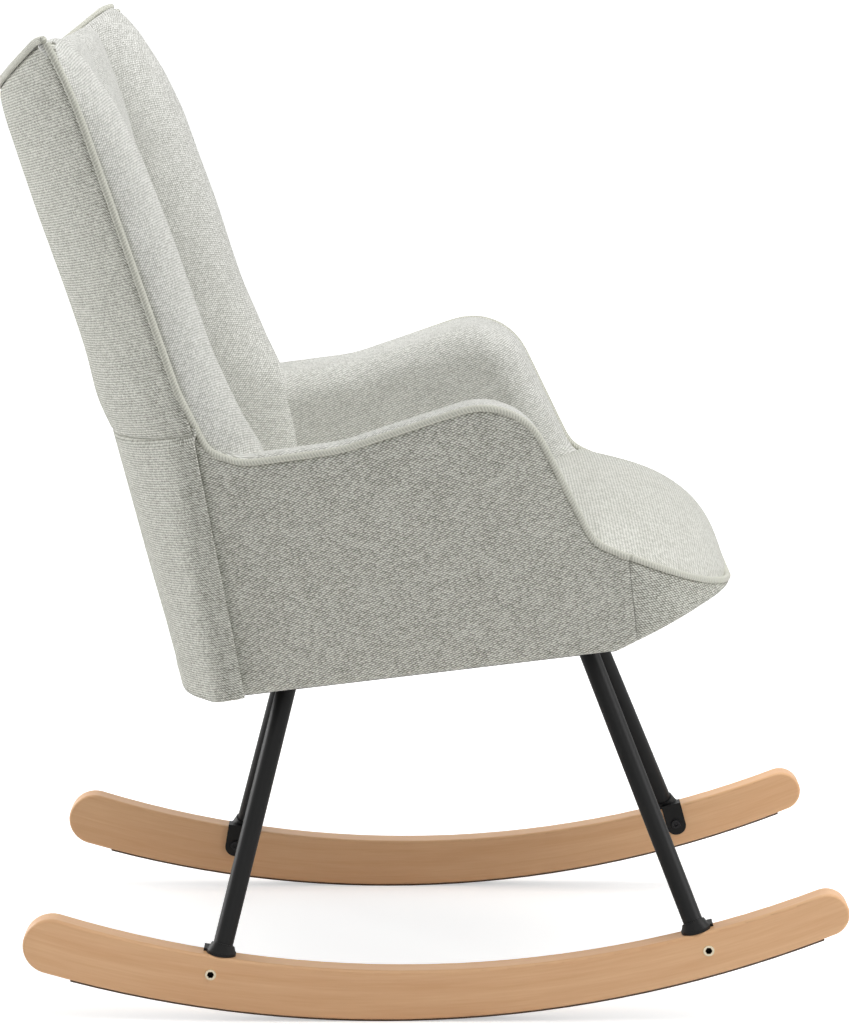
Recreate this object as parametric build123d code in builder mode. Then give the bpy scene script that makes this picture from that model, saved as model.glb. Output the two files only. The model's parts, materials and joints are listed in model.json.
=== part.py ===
"""Wing-back rocking chair: an upholstered shell on four steel legs and two curved wooden runners.

The origin is on the floor under the middle of the chair, +X to the front, +Y to the sitter's
left and +Z up. Sizes are in millimetres. Three planes carry the chair: the floor, the seat
plane (coordinates u forward, h up) and the back plane (coordinates s up, n forward).
"""

import os
from math import asin, atan2, cos, hypot, radians, sin, sqrt, tan

from build123d import *

os.makedirs("parts", exist_ok=True)

# Runners, with a rubber strip under each
runner_spacing = 440.0
runner_thickness = 24.0
runner_edge_round = 3.0
rocking_radius = 1200.0
contact_x = -38.0
runner_waist = 52.0
runner_top_radius = 1150.0
runner_top_x = -18.0
runner_front_x = 427.8
runner_rear_x = -399.5
strip_thickness = 2.0
strip_width = 18.0
strip_front_x = 406.0
strip_rear_x = -352.0

# Bolts through the runners, with a sleeve nut on the outer face
bolt_drop = 19.5
bolt_diameter = 6.0
bolt_head_diameter = 11.0
bolt_head_height = 3.4
bolt_head_taper = 12.0
bolt_grip_in_nut = 10.0
hex_across_flats = 5.0
hex_depth = 2.4
nut_diameter = 10.0
nut_length = 16.0
nut_flange_diameter = 11.6
nut_flange_thickness = 1.2
nut_hex_across_flats = 6.4
nut_hex_depth = 6.0
nut_flange_taper = 10.0
hole_clearance = 0.1
seat_clearance = 0.15

# Foot brackets: an oval flange with a flared collar for the leg, and a tab on the runner's inner face
bracket_thickness = 3.0
foot_front_x = 285.0
foot_rear_x = -207.6
flange_clearance = 0.25
flange_half_length = 15.0
flange_half_width = 12.0
flare_half_length = 14.5
flare_half_width = 11.8
tab_width = 22.0
tab_drop = 36.0
collar_wall = 1.6
collar_height = 7.0
foot_setback = 7.0

# Legs and their top plates
tube_diameter = 20.0
tube_wall = 2.0
front_leg_u = 163.6
rear_leg_u = -131.0
leg_top_spread = 130.0
plate_length = 72.0
plate_width = 60.0
plate_thickness = 3.0
plate_corner = 6.0
plate_screw_length_spacing = 56.0
plate_screw_width_spacing = 44.0
front_plate_u = 155.6
rear_plate_u = -115.0
screw_diameter = 4.0
screw_head_diameter = 8.4
screw_head_height = 2.4
screw_head_taper = 15.0
screw_length = 15.0

# Seat frame on the tilted seat plane
seat_base_z = 363.5
seat_tilt = 7.0
side_flare = 13.0
seat_base_half_width = 245.0
cover_thickness = 5.0
ply_thickness = 15.0
rail_thickness = 22.0
rail_height = 50.0
rail_lift = 3.0
front_rail_u = 172.0
leg_board_width = 78.0
leg_board_thickness = 18.0
dust_cover_thickness = 0.8
dust_cover_rear_turn = 2.0
dust_cover_front_turn = 1.0
dust_cover_plate_room = 1.0
panel_clearance = 0.3

# Serpentine seat springs
spring_count = 5
spring_pitch = 82.0
spring_wire = 3.5
spring_half_width = 24.0
spring_turn_radius = 11.0
spring_clip_height = 4.2
spring_clip_width = 16.0
spring_clip_length = 18.0
spring_rest = 0.05

# Outline of a side panel: the arm line from the wing to the nose of the seat
side_rear_u = -184.0
wing_foot_u = -178.0
wing_foot_v = 276.0
arm_dip_u = -152.0
arm_dip_v = 245.0
arm_rise_u = -45.0
arm_rise_v = 247.0
arm_crest_u = 126.0
arm_crest_v = 284.0
arm_foot_u = 183.0
arm_foot_v = 118.0
nose_u = 316.5
nose_v = 41.5
nose_corner = 100.0
dip_radius = 45.0
rise_radius = 150.0
crest_radius = 62.0
foot_radius = 35.0
bow_rise = 2.0
side_seam_u = 216.0
bow_start_gap = 2.0
ply_inset = 10.0
ply_rear_inset = 2.0

# Seat cushion and arm pads
arm_inner_inset = 19.0
arm_roll = 30.0
arm_pad_rear_inset = 3.0
cushion_lift = 62.0
cushion_crown = 130.0
cushion_edge = 76.0
cushion_rear_u = -165.0
cushion_rear_turn_u = -132.0
cushion_rear_turn_crown = 124.0
cushion_rear_crown = 112.0
cushion_side_bulge = 1.0
cushion_least_edge = 2.0
nose_shares = (0.0, 0.2, 0.4, 0.6, 0.75, 0.87, 0.95, 1.0)
nose_crown_front = 5.0
nose_fullness = 0.6
soft_clearance = 0.5

# Back on the tilted back plane
back_x = -295.5
back_z = 600.0
back_tilt = 18.0
hem_s = -12.0
tip_s = 387.0
top_rear_s = 346.0
top_rise = 23.0
top_recess = 2.0
wing_base_half = 314.0
wing_top_half = 335.0
wing_edge_n = 77.0
tip_edge_n = 69.0
tip_fall_s = 293.0
back_rear_n = -26.4
back_cover_thickness = 4.5
back_cover_overrun = 20.0
wing_crest_inset = 52.0
wing_crests = (
    (-12.0, 125.0),
    (56.0, 120.0),
    (155.0, 120.0),
    (254.0, 115.0),
    (304.0, 106.0),
    (353.0, 92.0),
    (395.0, 74.0),
)
wing_seam_half = 206.0
wing_seam_n = 66.0
wing_seam_drop = 6.0
wing_edge_gap = 2.0
wing_edge_rise = 7.0
wing_edge_drop = 1.0
wing_back_step = 1.0
pad_back_n = 39.5
quilt_column = 68.0
quilt_rows = (-120.0, 50.0, 220.0)
quilt_depth_n = 58.0
quilt_pillow = 7.5
quilt_seam_pillow = 2.5
quilt_rise = 4.0
pad_foot_drop = 45.0
pad_rim_rise = 9.0
pad_rim_edge_rise = 7.0
pad_head_rise = 5.0

# Frame of the back
post_inner_half = 176.0
post_width = 30.0
post_rear_n = 22.0
post_front_n = 36.0
post_foot_s = -262.0
post_top_s = 338.0
back_rail_height = 36.0
lower_rail_s = -70.0
wing_board_thickness = 6.0
wing_board_inset = 42.0
wing_board_room = 1.2
wing_board_lift = 2.0
webbing_width = 50.0
webbing_thickness = 1.6
webbing_inset = 4.0
webbing_count = 4
webbing_first_s = 15.0
webbing_pitch = 78.0
blade_thickness = 4.0
blade_width = 26.0
blade_top_s = -172.0
rear_rail_foot_s = -277.0
rear_rail_top_s = -233.0
blade_bolts_s = (-255.0, -241.0)
blade_screws_s = (-215.0, -188.0)

# Rear flap with its hook-and-loop tape
flap_gap = 0.3
flap_thickness = 2.0
flap_foot_s = -281.0
flap_top_half = 315.0
flap_foot_half = 255.5
flap_top_edge_n = 81.0
flap_foot_edge_n = 39.0
flap_top_rear_n = -29.0
flap_foot_rear_n = -46.0
flap_radius = 560.0
flap_corner_width = 30.0
rear_cover_gap = 6.0
rear_cover_thickness = 2.0
rear_cover_side_gap = 14.3
rear_cover_top_drop = 4.0
rear_cover_foot_s = -274.0
tape_half_length = 120.0
tape_width = 25.0
tape_thickness = 1.2
tape_foot_s = -262.0

# Welt cord sewn into the seams
welt_diameter = 6.5
welt_bend_radius = 440.0
welt_end_gap = 0.4
front_welt_turns = 8

# Planes and coordinates
SEAT_FORWARD = Vector(cos(radians(seat_tilt)), 0, sin(radians(seat_tilt)))
SEAT_UP = Vector(-sin(radians(seat_tilt)), 0, cos(radians(seat_tilt)))
SEAT = Plane(origin=(0, 0, seat_base_z), x_dir=SEAT_FORWARD, z_dir=SEAT_UP)
PROFILE = Plane(origin=(0, 0, seat_base_z), x_dir=SEAT_FORWARD, z_dir=(0, -1, 0))
BACK_UP = Vector(-sin(radians(back_tilt)), 0, cos(radians(back_tilt)))
BACK_FORWARD = Vector(cos(radians(back_tilt)), 0, sin(radians(back_tilt)))
BACK_ORIGIN = Vector(back_x, 0, back_z)

cos_flare = cos(radians(side_flare))
sin_flare = sin(radians(side_flare))
arm_inner_half = seat_base_half_width - arm_inner_inset
SIDE_OUT = Vector(0, -cos_flare, 0) - SEAT_UP * sin_flare
SIDE = Plane(origin=(0, -seat_base_half_width, seat_base_z), x_dir=SEAT_FORWARD, z_dir=SIDE_OUT)
SIDE_LEFT = Plane(
    origin=(0, seat_base_half_width, seat_base_z),
    x_dir=SEAT_FORWARD,
    z_dir=(SIDE_OUT.X, -SIDE_OUT.Y, SIDE_OUT.Z),
)


def back_plane(s):
    """Section plane across the back at height s: x to the right-hand side, y forward."""
    return Plane(origin=BACK_ORIGIN + BACK_UP * s, x_dir=(0, -1, 0), z_dir=BACK_UP)


def back_point(s, n):
    """Point of the chair's middle plane at height s up the back and n in front of it."""
    return BACK_ORIGIN + BACK_UP * s + BACK_FORWARD * n


def seat_section(u):
    """Plane across the seat at u, facing forward: x to the left-hand side, y up."""
    return Plane(origin=SEAT.from_local_coords((u, 0, 0)), x_dir=(0, 1, 0), z_dir=SEAT_FORWARD)


def side_half_width(h, depth=0.0):
    """Half width between the side panels at height h, at a depth behind their outer faces."""
    return seat_base_half_width + h * tan(radians(side_flare)) - depth / cos_flare


def export(part, label):
    """Labels a finished piece and writes it."""
    part.label = label
    export_step(part, f"parts/{label}.step")


def export_pair(part, label):
    """Writes a right-hand piece and its mirror image for the left-hand side."""
    export(part, f"{label}_right")
    with BuildPart() as twin:
        mirror(part, about=Plane.XZ)
    export(twin.part, f"{label}_left")


# Runners and strips: the top arc is tighter than the rocking arc, so they thin towards the front
runner_bottom_radius = rocking_radius - strip_thickness
runner_middle_radius = runner_bottom_radius - runner_waist / 2
runner_top_centre_z = strip_thickness + runner_waist + runner_top_radius
RUNNER_MIDDLE = Plane(origin=(0, -runner_spacing / 2, 0), x_dir=(1, 0, 0), z_dir=(0, -1, 0))


def runner_angle(x, radius):
    """Angle from the vertical, seen from the rocking centre, at which an arc passes over x."""
    return asin((x - contact_x) / radius)


def arc_point(angle, radius):
    """Point at an angle and a radius from the rocking centre."""
    return (contact_x + radius * sin(angle), rocking_radius - radius * cos(angle))


def top_reach(angle):
    """Distance of the runners' top arc from the rocking centre."""
    across = runner_top_x - contact_x
    above = runner_top_centre_z - rocking_radius
    along = across * sin(angle) - above * cos(angle)
    return along + sqrt(along**2 - across**2 - above**2 + runner_top_radius**2)


def bottom_reach(angle):
    """Distance of the runners' bottom arc from the rocking centre."""
    return runner_bottom_radius


def floor_reach(angle):
    """Distance of the strips' rolling face from the rocking centre."""
    return rocking_radius


def band_arc(first, last, reach):
    """Arc between two angles, at a reach from the rocking centre."""
    ThreePointArc(*[arc_point(angle, reach(angle)) for angle in (first, (first + last) / 2, last)])


def band_end(angle, cap, first, last):
    """Round end of a band, from one reach to another, pushed out by a cap."""
    middle = (first(angle) + last(angle)) / 2
    tip = arc_point(angle + cap / middle, middle)
    ThreePointArc(arc_point(angle, first(angle)), tip, arc_point(angle, last(angle)))


def band_outline(front, rear, outer, inner, front_cap, rear_cap):
    """Closed band between an outer and an inner arc, with round ends."""
    band_arc(rear, front, outer)
    band_end(front, front_cap, outer, inner)
    band_arc(front, rear, inner)
    band_end(rear, -rear_cap, inner, outer)


# Feet: one frame for each, on the runner's top face
foot_x = {"front": foot_front_x, "rear": foot_rear_x}


def foot_plane(end):
    """Plane on the top face of the right runner: x forward along it, y to the left, z up."""
    angle = asin((foot_x[end] - runner_top_x) / runner_top_radius)
    return Plane(
        origin=(foot_x[end], -runner_spacing / 2, runner_top_centre_z - runner_top_radius * cos(angle)),
        x_dir=(cos(angle), 0, sin(angle)),
        z_dir=(-sin(angle), 0, cos(angle)),
    )


def bolt_point(end, y):
    """Point on a runner bolt's axis, at a distance y inward from the runner's middle plane."""
    return foot_plane(end).from_local_coords((0, y, -bolt_drop))


def runner_cap(angle):
    """How far a runner's round end stands out past an angle."""
    return (runner_bottom_radius - top_reach(angle) - runner_edge_round) / 2


runner_front_angle = runner_angle(runner_front_x, runner_middle_radius)
runner_front_angle -= runner_cap(runner_front_angle) / runner_middle_radius
runner_rear_angle = runner_angle(runner_rear_x, runner_middle_radius)
runner_rear_angle += runner_cap(runner_rear_angle) / runner_middle_radius
runner_hole_radius = nut_diameter / 2 + hole_clearance

with BuildPart() as runner:
    with BuildSketch(RUNNER_MIDDLE):
        with BuildLine():
            band_outline(
                runner_front_angle,
                runner_rear_angle,
                bottom_reach,
                top_reach,
                runner_cap(runner_front_angle),
                runner_cap(runner_rear_angle),
            )
        make_face()
        with Locations(*[(bolt_point(end, 0).X, bolt_point(end, 0).Z) for end in foot_x]):
            Circle(runner_hole_radius, mode=Mode.SUBTRACT)
    extrude(amount=runner_thickness / 2, both=True)
    outline_edges = runner.faces().filter_by(Axis.Y).edges().filter_by(GeomType.CIRCLE)
    fillet([e for e in outline_edges if e.radius > 2 * runner_hole_radius], runner_edge_round)
export_pair(runner.part, "runner")

with BuildPart() as grip_strip:
    with BuildSketch(RUNNER_MIDDLE):
        with BuildLine():
            band_outline(
                runner_angle(strip_front_x, rocking_radius),
                runner_angle(strip_rear_x, rocking_radius),
                floor_reach,
                bottom_reach,
                strip_thickness / 2,
                strip_thickness / 2,
            )
        make_face()
    extrude(amount=strip_width / 2, both=True)
export_pair(grip_strip.part, "runner_grip_strip")


# Foot brackets and legs
flange_top = flange_clearance + bracket_thickness
tab_inner_y = runner_thickness / 2 + seat_clearance
leg_foot_x = {"front": -foot_setback, "rear": foot_setback}
leg_top_u = {"front": front_leg_u, "rear": rear_leg_u}
bracket_hole_radius = bolt_diameter / 2 + hole_clearance


def leg_axis(end):
    """Foot and top of a right-hand leg's axis, and the plane square to it at its foot."""
    foot = foot_plane(end).from_local_coords((leg_foot_x[end], 0, flange_top))
    top = SEAT.from_local_coords((leg_top_u[end], -leg_top_spread, 0))
    return foot, top, Plane(origin=foot, z_dir=top - foot)


for end in ("front", "rear"):
    ground = foot_plane(end)
    flange_face = ground.offset(flange_top)
    tab_origin = ground.from_local_coords((0, tab_inner_y, 0))
    tab_plane = Plane(origin=tab_origin, x_dir=ground.x_dir, z_dir=(0, 1, 0))
    foot, top, square = leg_axis(end)
    overrun = 2 * tube_diameter

    with BuildPart() as collar:
        with BuildSketch(flange_face):
            with Locations((leg_foot_x[end], 0)):
                Ellipse(flare_half_length, flare_half_width)
        with BuildSketch(square.offset(collar_height)):
            Circle(tube_diameter / 2 + collar_wall)
        loft()
        with BuildSketch(square.offset(-overrun)):
            Circle(tube_diameter / 2 + hole_clearance)
        extrude(amount=2 * overrun, mode=Mode.SUBTRACT)

    with BuildPart() as foot_bracket:
        neck_width = tab_inner_y + bracket_thickness
        with BuildSketch(ground.offset(flange_clearance)):
            with Locations((leg_foot_x[end], 0)):
                Ellipse(flange_half_length, flange_half_width)
            with Locations((0, neck_width / 2)):
                Rectangle(tab_width, neck_width)
        extrude(amount=bracket_thickness)
        with BuildSketch(tab_plane):
            straight = tab_drop - tab_width / 2
            with Locations((0, straight / 2 - flange_top)):
                Rectangle(tab_width, straight)
            with Locations((0, straight - flange_top)):
                Circle(tab_width / 2)
            with Locations((0, bolt_drop)):
                Circle(bracket_hole_radius, mode=Mode.SUBTRACT)
        extrude(amount=bracket_thickness)
        add(collar.part)
    export_pair(foot_bracket.part, f"foot_bracket_{end}")

    with BuildPart() as leg:
        with BuildSketch(square.offset(-overrun)):
            Circle(tube_diameter / 2)
            Circle(tube_diameter / 2 - tube_wall, mode=Mode.SUBTRACT)
        extrude(amount=(top - foot).length + 2 * overrun)
        split(bisect_by=flange_face, keep=Keep.TOP)
        split(bisect_by=SEAT, keep=Keep.BOTTOM)
    export_pair(leg.part, f"leg_{end}")

# Runner bolts and sleeve nuts
outer_face_y = -runner_thickness / 2
tab_outer_y = tab_inner_y + bracket_thickness
nut_end_y = outer_face_y + nut_length


def runner_bolt_plane(end, y):
    """Plane square to a runner bolt, at a distance y inward from the runner's middle plane."""
    return Plane(origin=bolt_point(end, y), x_dir=(1, 0, 0), z_dir=(0, 1, 0))


with BuildPart() as bolts_right:
    for end in foot_x:
        with BuildSketch(runner_bolt_plane(end, tab_outer_y)):
            Circle(bolt_head_diameter / 2)
        extrude(amount=bolt_head_height, taper=bolt_head_taper)
        with BuildSketch(runner_bolt_plane(end, nut_end_y - bolt_grip_in_nut)):
            Circle(bolt_diameter / 2)
        extrude(amount=tab_outer_y - nut_end_y + bolt_grip_in_nut)
        with BuildSketch(runner_bolt_plane(end, tab_outer_y + bolt_head_height)):
            RegularPolygon(hex_across_flats / 2, 6, major_radius=False)
        extrude(amount=-hex_depth, mode=Mode.SUBTRACT)

with BuildPart() as runner_bolts:
    add(bolts_right.part)
    mirror(bolts_right.part, about=Plane.XZ)
export(runner_bolts.part, "runner_bolts")

with BuildPart() as nuts_right:
    for end in foot_x:
        with BuildSketch(runner_bolt_plane(end, outer_face_y)):
            Circle(nut_flange_diameter / 2)
        extrude(amount=-nut_flange_thickness, taper=nut_flange_taper)
        with BuildSketch(runner_bolt_plane(end, outer_face_y)):
            Circle(nut_diameter / 2)
        extrude(amount=nut_length)
        with BuildSketch(runner_bolt_plane(end, nut_end_y)):
            Circle(bracket_hole_radius)
        extrude(amount=-bolt_grip_in_nut - hole_clearance, mode=Mode.SUBTRACT)
        with BuildSketch(runner_bolt_plane(end, outer_face_y - nut_flange_thickness)):
            RegularPolygon(nut_hex_across_flats / 2, 6, major_radius=False)
        extrude(amount=nut_hex_depth, mode=Mode.SUBTRACT)

with BuildPart() as runner_sleeve_nuts:
    add(nuts_right.part)
    mirror(nuts_right.part, about=Plane.XZ)
export(runner_sleeve_nuts.part, "runner_sleeve_nuts")

# Leg plates, the boards that they are screwed to, and their screws
plate_u = {"front": front_plate_u, "rear": rear_plate_u}
plate_centres = [(u, side * leg_top_spread) for u in plate_u.values() for side in (-1, 1)]
screw_hole_radius = screw_diameter / 2 + hole_clearance
board_bottom_h = plate_thickness

with BuildPart() as leg_top_plates:
    with BuildSketch(SEAT):
        with Locations(*plate_centres):
            RectangleRounded(plate_length, plate_width, plate_corner)
            with GridLocations(plate_screw_length_spacing, plate_screw_width_spacing, 2, 2):
                Circle(screw_hole_radius, mode=Mode.SUBTRACT)
    extrude(amount=plate_thickness)
export(leg_top_plates.part, "leg_top_plates")

with BuildPart() as leg_plate_screws:
    with BuildSketch(SEAT):
        with Locations(*plate_centres):
            with GridLocations(plate_screw_length_spacing, plate_screw_width_spacing, 2, 2):
                Circle(screw_head_diameter / 2)
    extrude(amount=-screw_head_height, taper=screw_head_taper)
    with BuildSketch(SEAT):
        with Locations(*plate_centres):
            with GridLocations(plate_screw_length_spacing, plate_screw_width_spacing, 2, 2):
                Circle(screw_diameter / 2)
    extrude(amount=screw_length)
export(leg_plate_screws.part, "leg_plate_screws")

# Dust cover under the seat, cut out round the leg plates
dust_rear_u = side_rear_u - dust_cover_rear_turn
dust_front_u = front_rail_u + rail_thickness + dust_cover_front_turn
plate_room = 2 * dust_cover_plate_room
with BuildPart() as dust_cover:
    with BuildSketch(SEAT):
        with Locations(((dust_front_u + dust_rear_u) / 2, 0)):
            Rectangle(
                dust_front_u - dust_rear_u, 2 * (side_half_width(0, cover_thickness) - soft_clearance)
            )
        with Locations(*plate_centres):
            Rectangle(plate_length + plate_room, plate_width + plate_room, mode=Mode.SUBTRACT)
    extrude(amount=dust_cover_thickness)
export(dust_cover.part, "dust_cover")

# Seat rails
rail_top_h = rail_lift + rail_height
frame_depth = cover_thickness + ply_thickness

with BuildPart() as seat_front_rail:
    with BuildSketch(SEAT.offset(rail_lift)):
        with Locations((front_rail_u + rail_thickness / 2, 0)):
            Rectangle(rail_thickness, 3 * seat_base_half_width)
        with Locations((front_plate_u, -leg_top_spread), (front_plate_u, leg_top_spread)):
            with GridLocations(plate_screw_length_spacing, plate_screw_width_spacing, 2, 2):
                Circle(screw_hole_radius, mode=Mode.SUBTRACT)
    extrude(amount=rail_height)
    split(bisect_by=SIDE.offset(-frame_depth), keep=Keep.BOTTOM)
    split(bisect_by=SIDE_LEFT.offset(-frame_depth), keep=Keep.BOTTOM)
export(seat_front_rail.part, "seat_front_rail")

blade_front_n = post_front_n + blade_thickness
rear_rail_front_n = blade_front_n + rail_thickness
blade_x = post_inner_half + post_width / 2
bolt_hole_radius = bolt_diameter / 2 + hole_clearance


def back_bore_plane(s, n):
    """Plane square to the bolts of the back at height s, facing forward, with x to the left."""
    return Plane(origin=back_point(s, n), x_dir=(0, 1, 0), z_dir=BACK_FORWARD)


with BuildPart() as seat_rear_rail:
    with BuildSketch(back_plane(rear_rail_foot_s)):
        with Locations((0, (blade_front_n + rear_rail_front_n) / 2)):
            Rectangle(3 * seat_base_half_width, rail_thickness)
    extrude(amount=rear_rail_top_s - rear_rail_foot_s)
    for s in blade_bolts_s:
        with BuildSketch(back_bore_plane(s, blade_front_n)):
            with Locations((-blade_x, 0), (blade_x, 0)):
                Circle(bolt_hole_radius)
        extrude(amount=rail_thickness, mode=Mode.SUBTRACT)
    split(bisect_by=SIDE.offset(-frame_depth), keep=Keep.BOTTOM)
    split(bisect_by=SIDE_LEFT.offset(-frame_depth), keep=Keep.BOTTOM)
export(seat_rear_rail.part, "seat_rear_rail")

rail_depth = frame_depth + rail_thickness
rear_rail_face = Plane(origin=back_point(0, rear_rail_front_n), x_dir=(0, 1, 0), z_dir=BACK_FORWARD)
with BuildPart() as seat_side_rail:
    with BuildSketch(SIDE.offset(-rail_depth)):
        with Locations((0, rail_lift + rail_height / 2)):
            Rectangle(2 * front_rail_u, rail_height)
    extrude(amount=rail_thickness)
    split(bisect_by=rear_rail_face, keep=Keep.TOP)
export_pair(seat_side_rail.part, "seat_side_rail")

# Boards over the leg plates, between the rails
for end, u in plate_u.items():
    with BuildPart() as leg_board:
        with BuildSketch(SEAT.offset(board_bottom_h)):
            with Locations((u, 0)):
                Rectangle(leg_board_width, 2 * seat_base_half_width)
            with Locations((u, -leg_top_spread), (u, leg_top_spread)):
                with GridLocations(plate_screw_length_spacing, plate_screw_width_spacing, 2, 2):
                    Circle(screw_hole_radius, mode=Mode.SUBTRACT)
        extrude(amount=leg_board_thickness)
        split(bisect_by=SIDE.offset(-rail_depth), keep=Keep.BOTTOM)
        split(bisect_by=SIDE_LEFT.offset(-rail_depth), keep=Keep.BOTTOM)
        split(bisect_by=seat_section(front_rail_u), keep=Keep.BOTTOM)
        split(bisect_by=rear_rail_face, keep=Keep.TOP)
    export(leg_board.part, f"leg_board_{end}")

# Serpentine springs from the rear rail to the front rail
spring_h = rail_top_h + spring_clip_height + spring_wire / 2 + spring_rest
rear_rail_top = back_plane(rear_rail_top_s)
rear_clip_u = SEAT.to_local_coords(back_point(rear_rail_top_s, (blade_front_n + rear_rail_front_n) / 2)).X
front_clip_u = front_rail_u + rail_thickness / 2
spring_rows = [(i - (spring_count - 1) / 2) * spring_pitch for i in range(spring_count)]
spring_step = 2 * spring_turn_radius
spring_turns = int((front_clip_u - rear_clip_u) / spring_step)
spring_start_u = (rear_clip_u + front_clip_u - spring_turns * spring_step) / 2
spring_run = spring_half_width - spring_turn_radius


def spring_path(y):
    """Flat zigzag of cross runs joined by half turns."""
    for i in range(spring_turns):
        side = 1 if i % 2 else -1
        u = spring_start_u + i * spring_step
        Line((u, y - side * spring_run), (u, y + side * spring_run))
        turn_end = (u + spring_step, y + side * spring_run)
        turn_top = (u + spring_turn_radius, y + side * spring_half_width)
        ThreePointArc((u, y + side * spring_run), turn_top, turn_end)
    side = 1 if spring_turns % 2 else -1
    u = spring_start_u + spring_turns * spring_step
    Line((u, y - side * spring_run), (u, y + side * spring_run))


with BuildPart() as seat_springs:
    for y in spring_rows:
        with BuildLine(SEAT.offset(spring_h)) as zigzag:
            spring_path(y)
        start_wire = zigzag.wires()[0]
        with BuildSketch(Plane(origin=start_wire @ 0, z_dir=start_wire % 0)):
            Circle(spring_wire / 2)
        sweep(path=start_wire)
export(seat_springs.part, "seat_springs")

clip_top_h = rail_top_h + spring_clip_height
with BuildPart() as rear_clips:
    with BuildSketch(SEAT.offset(clip_top_h)):
        with Locations(*[(rear_clip_u, y) for y in spring_rows]):
            Rectangle(spring_clip_length, spring_clip_width)
    extrude(amount=-3 * spring_clip_height)
    split(bisect_by=rear_rail_top, keep=Keep.TOP)

with BuildPart() as spring_clips:
    with BuildSketch(SEAT.offset(rail_top_h)):
        with Locations(*[(front_clip_u, y) for y in spring_rows]):
            Rectangle(spring_clip_length, spring_clip_width)
    extrude(amount=spring_clip_height)
    add(rear_clips.part)
export(spring_clips.part, "spring_clips")

# Outline of the side panels
ARM_LINE = [
    (wing_foot_u, wing_foot_v),
    (arm_dip_u, arm_dip_v),
    (arm_rise_u, arm_rise_v),
    (arm_crest_u, arm_crest_v),
    (arm_foot_u, arm_foot_v),
    (nose_u, nose_v),
]
ARM_RADII = [dip_radius, rise_radius, crest_radius, foot_radius]


def arm_line(distance=0.0):
    """Corner points and radii of the arm line, moved outward by a distance."""
    headings = [atan2(b[1] - a[1], b[0] - a[0]) for a, b in zip(ARM_LINE, ARM_LINE[1:])]
    points = []
    radii = []
    for i, (u, v) in enumerate(ARM_LINE):
        before = headings[max(i - 1, 0)]
        after = headings[min(i, len(headings) - 1)]
        half_turn = (after - before) / 2
        reach = distance / cos(half_turn)
        middle = (before + after) / 2
        points.append((u - reach * sin(middle), v + reach * cos(middle)))
        if 0 < i < len(ARM_LINE) - 1:
            bend = -1 if after > before else 1
            radii.append(ARM_RADII[i - 1] + bend * distance)
    return points, radii


bow_start_u = front_rail_u + rail_thickness + bow_start_gap


def bow_middle(start, end):
    """Middle point of the bow's arc, a little above its chord."""
    return ((start[0] + end[0]) / 2, (start[1] + end[1]) / 2 + bow_rise)


def side_outline():
    """Outline of a whole side panel on the side plane."""
    points, radii = arm_line()
    FilletPolyline(*points, radius=radii)
    bow_start = (bow_start_u, 0)
    ThreePointArc(points[-1], bow_middle(bow_start, points[-1]), bow_start)
    Polyline(bow_start, (side_rear_u, 0), (side_rear_u, points[0][1]), points[0])


with BuildPart() as side_cover:
    with BuildSketch(SIDE.offset(-cover_thickness)):
        with BuildLine():
            side_outline()
        make_face()
    extrude(amount=cover_thickness)
    split(bisect_by=seat_section(side_seam_u), keep=Keep.BOTTOM)
export_pair(side_cover.part, "side_cover")

ply_rear_u = side_rear_u + ply_rear_inset
ply_front_u = front_rail_u + rail_thickness


def ply_outline(grow=0.0):
    """Outline of an arm's plywood side, inside its cover."""
    points, radii = arm_line(grow - ply_inset)
    foot_v = rail_lift - grow
    FilletPolyline(*points, radius=radii)
    Polyline(points[-1], (points[-1][0], foot_v), (ply_rear_u - grow, foot_v))
    Polyline((ply_rear_u - grow, foot_v), (ply_rear_u - grow, points[0][1]), points[0])


with BuildPart() as arm_frame:
    with BuildSketch(SIDE.offset(-frame_depth)):
        with BuildLine():
            ply_outline()
        make_face()
    extrude(amount=ply_thickness)
    split(bisect_by=seat_section(ply_front_u), keep=Keep.BOTTOM)
export_pair(arm_frame.part, "arm_frame")

with BuildPart() as ply_room:
    with BuildSketch(SIDE.offset(-frame_depth - panel_clearance)):
        with BuildLine():
            ply_outline(panel_clearance)
        make_face()
    extrude(amount=ply_thickness + 2 * cover_thickness)

# Arm pads: foam over the plywood side, rolled over at its inner top edge
pad_rear_u = side_rear_u + arm_pad_rear_inset
pad_front_u = ply_front_u
under_wing = Plane(origin=back_point(hem_s - flap_gap, 0), x_dir=(0, 1, 0), z_dir=BACK_UP)


def pad_profile():
    """Corner points and radii of an arm pad seen from the side, run on past the wing's foot."""
    points, radii = arm_line()
    points = [(u, v * cos_flare) for u, v in points]
    (u0, v0), (u1, v1) = points[0:2]
    points[0] = (2 * u0 - u1, 2 * v0 - v1)
    return points, radii


def arm_roll_edges(part, ends):
    """Edges of an arm pad's inner face that its roll goes round: those of its arm line."""
    inner_face = part.faces().sort_by(Axis.Y)[-1]
    for edge in inner_face.edges():
        place = SEAT.to_local_coords(edge.center())
        at_end = min(abs(place.X - end) for end in ends) < 1
        if place.Z > 1 and not at_end:
            yield edge


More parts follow.
